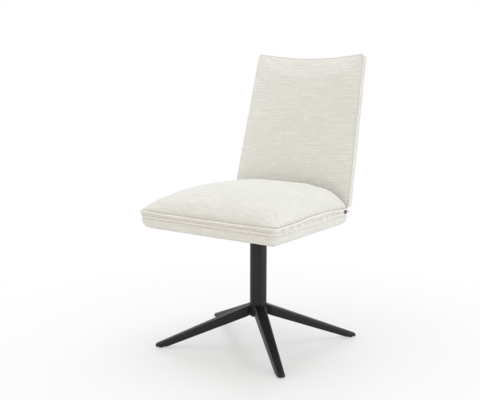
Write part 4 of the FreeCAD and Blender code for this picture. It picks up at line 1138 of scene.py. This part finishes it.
class CHAIR_OT_studio(bpy.types.Operator):
    """Build the floor, the world, the lights and the camera"""

    bl_idname = "chair.studio"
    bl_label = "Studio"

    def seen(self, rays):
        """1 for the camera and for what gloss and glass show, 0 for the light that falls on the chair."""
        gloss = rays.node("ShaderNodeLightPath", {}, {}, "Is Glossy Ray")
        passed = rays.node("ShaderNodeLightPath", {}, {}, "Is Transmission Ray")
        return rays.most(gloss).most(passed)

    def floor(self):
        bpy.ops.mesh.primitive_circle_add(vertices=96, radius=9, fill_type="TRIFAN", location=(0, 0, 0))
        floor = bpy.context.object
        floor.name = "studio_floor"
        material, spot = begin("studio_floor_white")
        far = (spot.part(0) ** 2 + spot.part(1) ** 2) ** 0.5
        rays = spot.node("ShaderNodeLightPath", {}, {}, "Is Camera Ray")
        paint = spot.node("ShaderNodeBsdfPrincipled", {}, {
            "Base Color": (0.85, 0.85, 0.85), "Roughness": 0.28, "Specular IOR Level": 0.35})
        glow = spot.node("ShaderNodeEmission", {}, {"Color": (1, 1, 1), "Strength": 1.0})
        seen = self.seen(rays)
        # The floor glows. Near the chair the camera sees it as half white glow, which paints its shadows
        # lighter, and from 1.2 m out it is all glow. For the light that falls on the chair it glows at 0.35
        # and lights the chair from below.
        share = far.step(0.45, 1.2, 0.5, 1.0) * seen + (1 - seen) * 0.35
        close(spot.node("ShaderNodeMixShader", {}, {0: share, 1: paint, 2: glow}))
        give(floor, material)

    def world(self, scene):
        world = bpy.data.worlds.new("studio")
        scene.world = world
        world.use_nodes = True
        world.node_tree.nodes.clear()
        rays = Line(world.node_tree.nodes.new("ShaderNodeLightPath").outputs["Is Camera Ray"])
        seen = self.seen(rays)
        sky = {"Color": seen.blend((1.0, 0.96, 0.89), (1, 1, 1)), "Strength": seen.step(0, 1, 0.52, 1.0)}
        close(rays.node("ShaderNodeBackground", {}, sky), "ShaderNodeOutputWorld")

    def hold(self, scene, data, place, tilt, turn):
        """Put a lamp or the camera in the scene, tilted up from straight down and turned."""
        holder = bpy.data.objects.new(data.name, data)
        scene.collection.objects.link(holder)
        holder.location = place
        holder.rotation_euler = (tilt, 0, turn)
        return holder

    def lamp(self, scene, name, place, wide, power, colour):
        """A square soft light that looks at the chair."""
        light = bpy.data.lights.new(name, "AREA")
        light.shape = "SQUARE"
        light.size = wide
        light.energy = power
        light.color = colour
        x, y, z = place
        tilt = math.atan2(math.hypot(x, y), z - LAMPS_AIM)
        self.hold(scene, light, place, tilt, math.atan2(y, x) + math.pi / 2)

    def camera(self, scene):
        """The camera that the photograph was taken from, as fitted to its outline."""
        eye = bpy.data.cameras.new("camera")
        eye.lens = CAMERA_LENS
        eye.sensor_width = 36
        eye.sensor_fit = "HORIZONTAL"
        eye.clip_end = 60
        scene.camera = self.hold(
            scene, eye, CAMERA_PLACE, math.radians(90 - CAMERA_DIP), math.radians(CAMERA_YAW))

    def execute(self, context):
        scene = context.scene
        self.floor()
        self.world(scene)
        for lamp in LAMPS:
            self.lamp(scene, *lamp)
        self.camera(scene)
        scene.view_settings.view_transform = "Standard"
        return {"FINISHED"}


class CHAIR_PT_build(bpy.types.Panel):
    """The chair's settings and build steps"""

    bl_label = "Swivel chair"
    bl_idname = "CHAIR_PT_build"
    bl_space_type = "VIEW_3D"
    bl_region_type = "UI"
    bl_category = "Chair"

    def draw(self, context):
        for group in (getattr(context.scene, name) for name in GROUPS):
            for name in group.__annotations__:
                self.layout.prop(group, name)
        for step in STEPS:
            self.layout.operator(step.bl_idname)


STEPS = (
    CHAIR_OT_seat_crown, CHAIR_OT_seat_border, CHAIR_OT_back_covers, CHAIR_OT_stitching, CHAIR_OT_zip,
    CHAIR_OT_staples, CHAIR_OT_weld_beads, CHAIR_OT_finishes, CHAIR_OT_studio)
GROUPS = {"chair_cloth": ChairCloth, "chair_seat": ChairSeat, "chair_base": ChairBase}
CLASSES = (*GROUPS.values(), *STEPS, CHAIR_PT_build)


def register():
    for cls in CLASSES:
        bpy.utils.register_class(cls)
    for name, group in GROUPS.items():
        setattr(bpy.types.Scene, name, PointerProperty(type=group))


def unregister():
    for name in GROUPS:
        delattr(bpy.types.Scene, name)
    for cls in reversed(CLASSES):
        bpy.utils.unregister_class(cls)


def main():
    register()
    for step in STEPS:
        getattr(bpy.ops.chair, step.bl_idname.split(".")[1])()


if __name__ == "__main__":
    main()
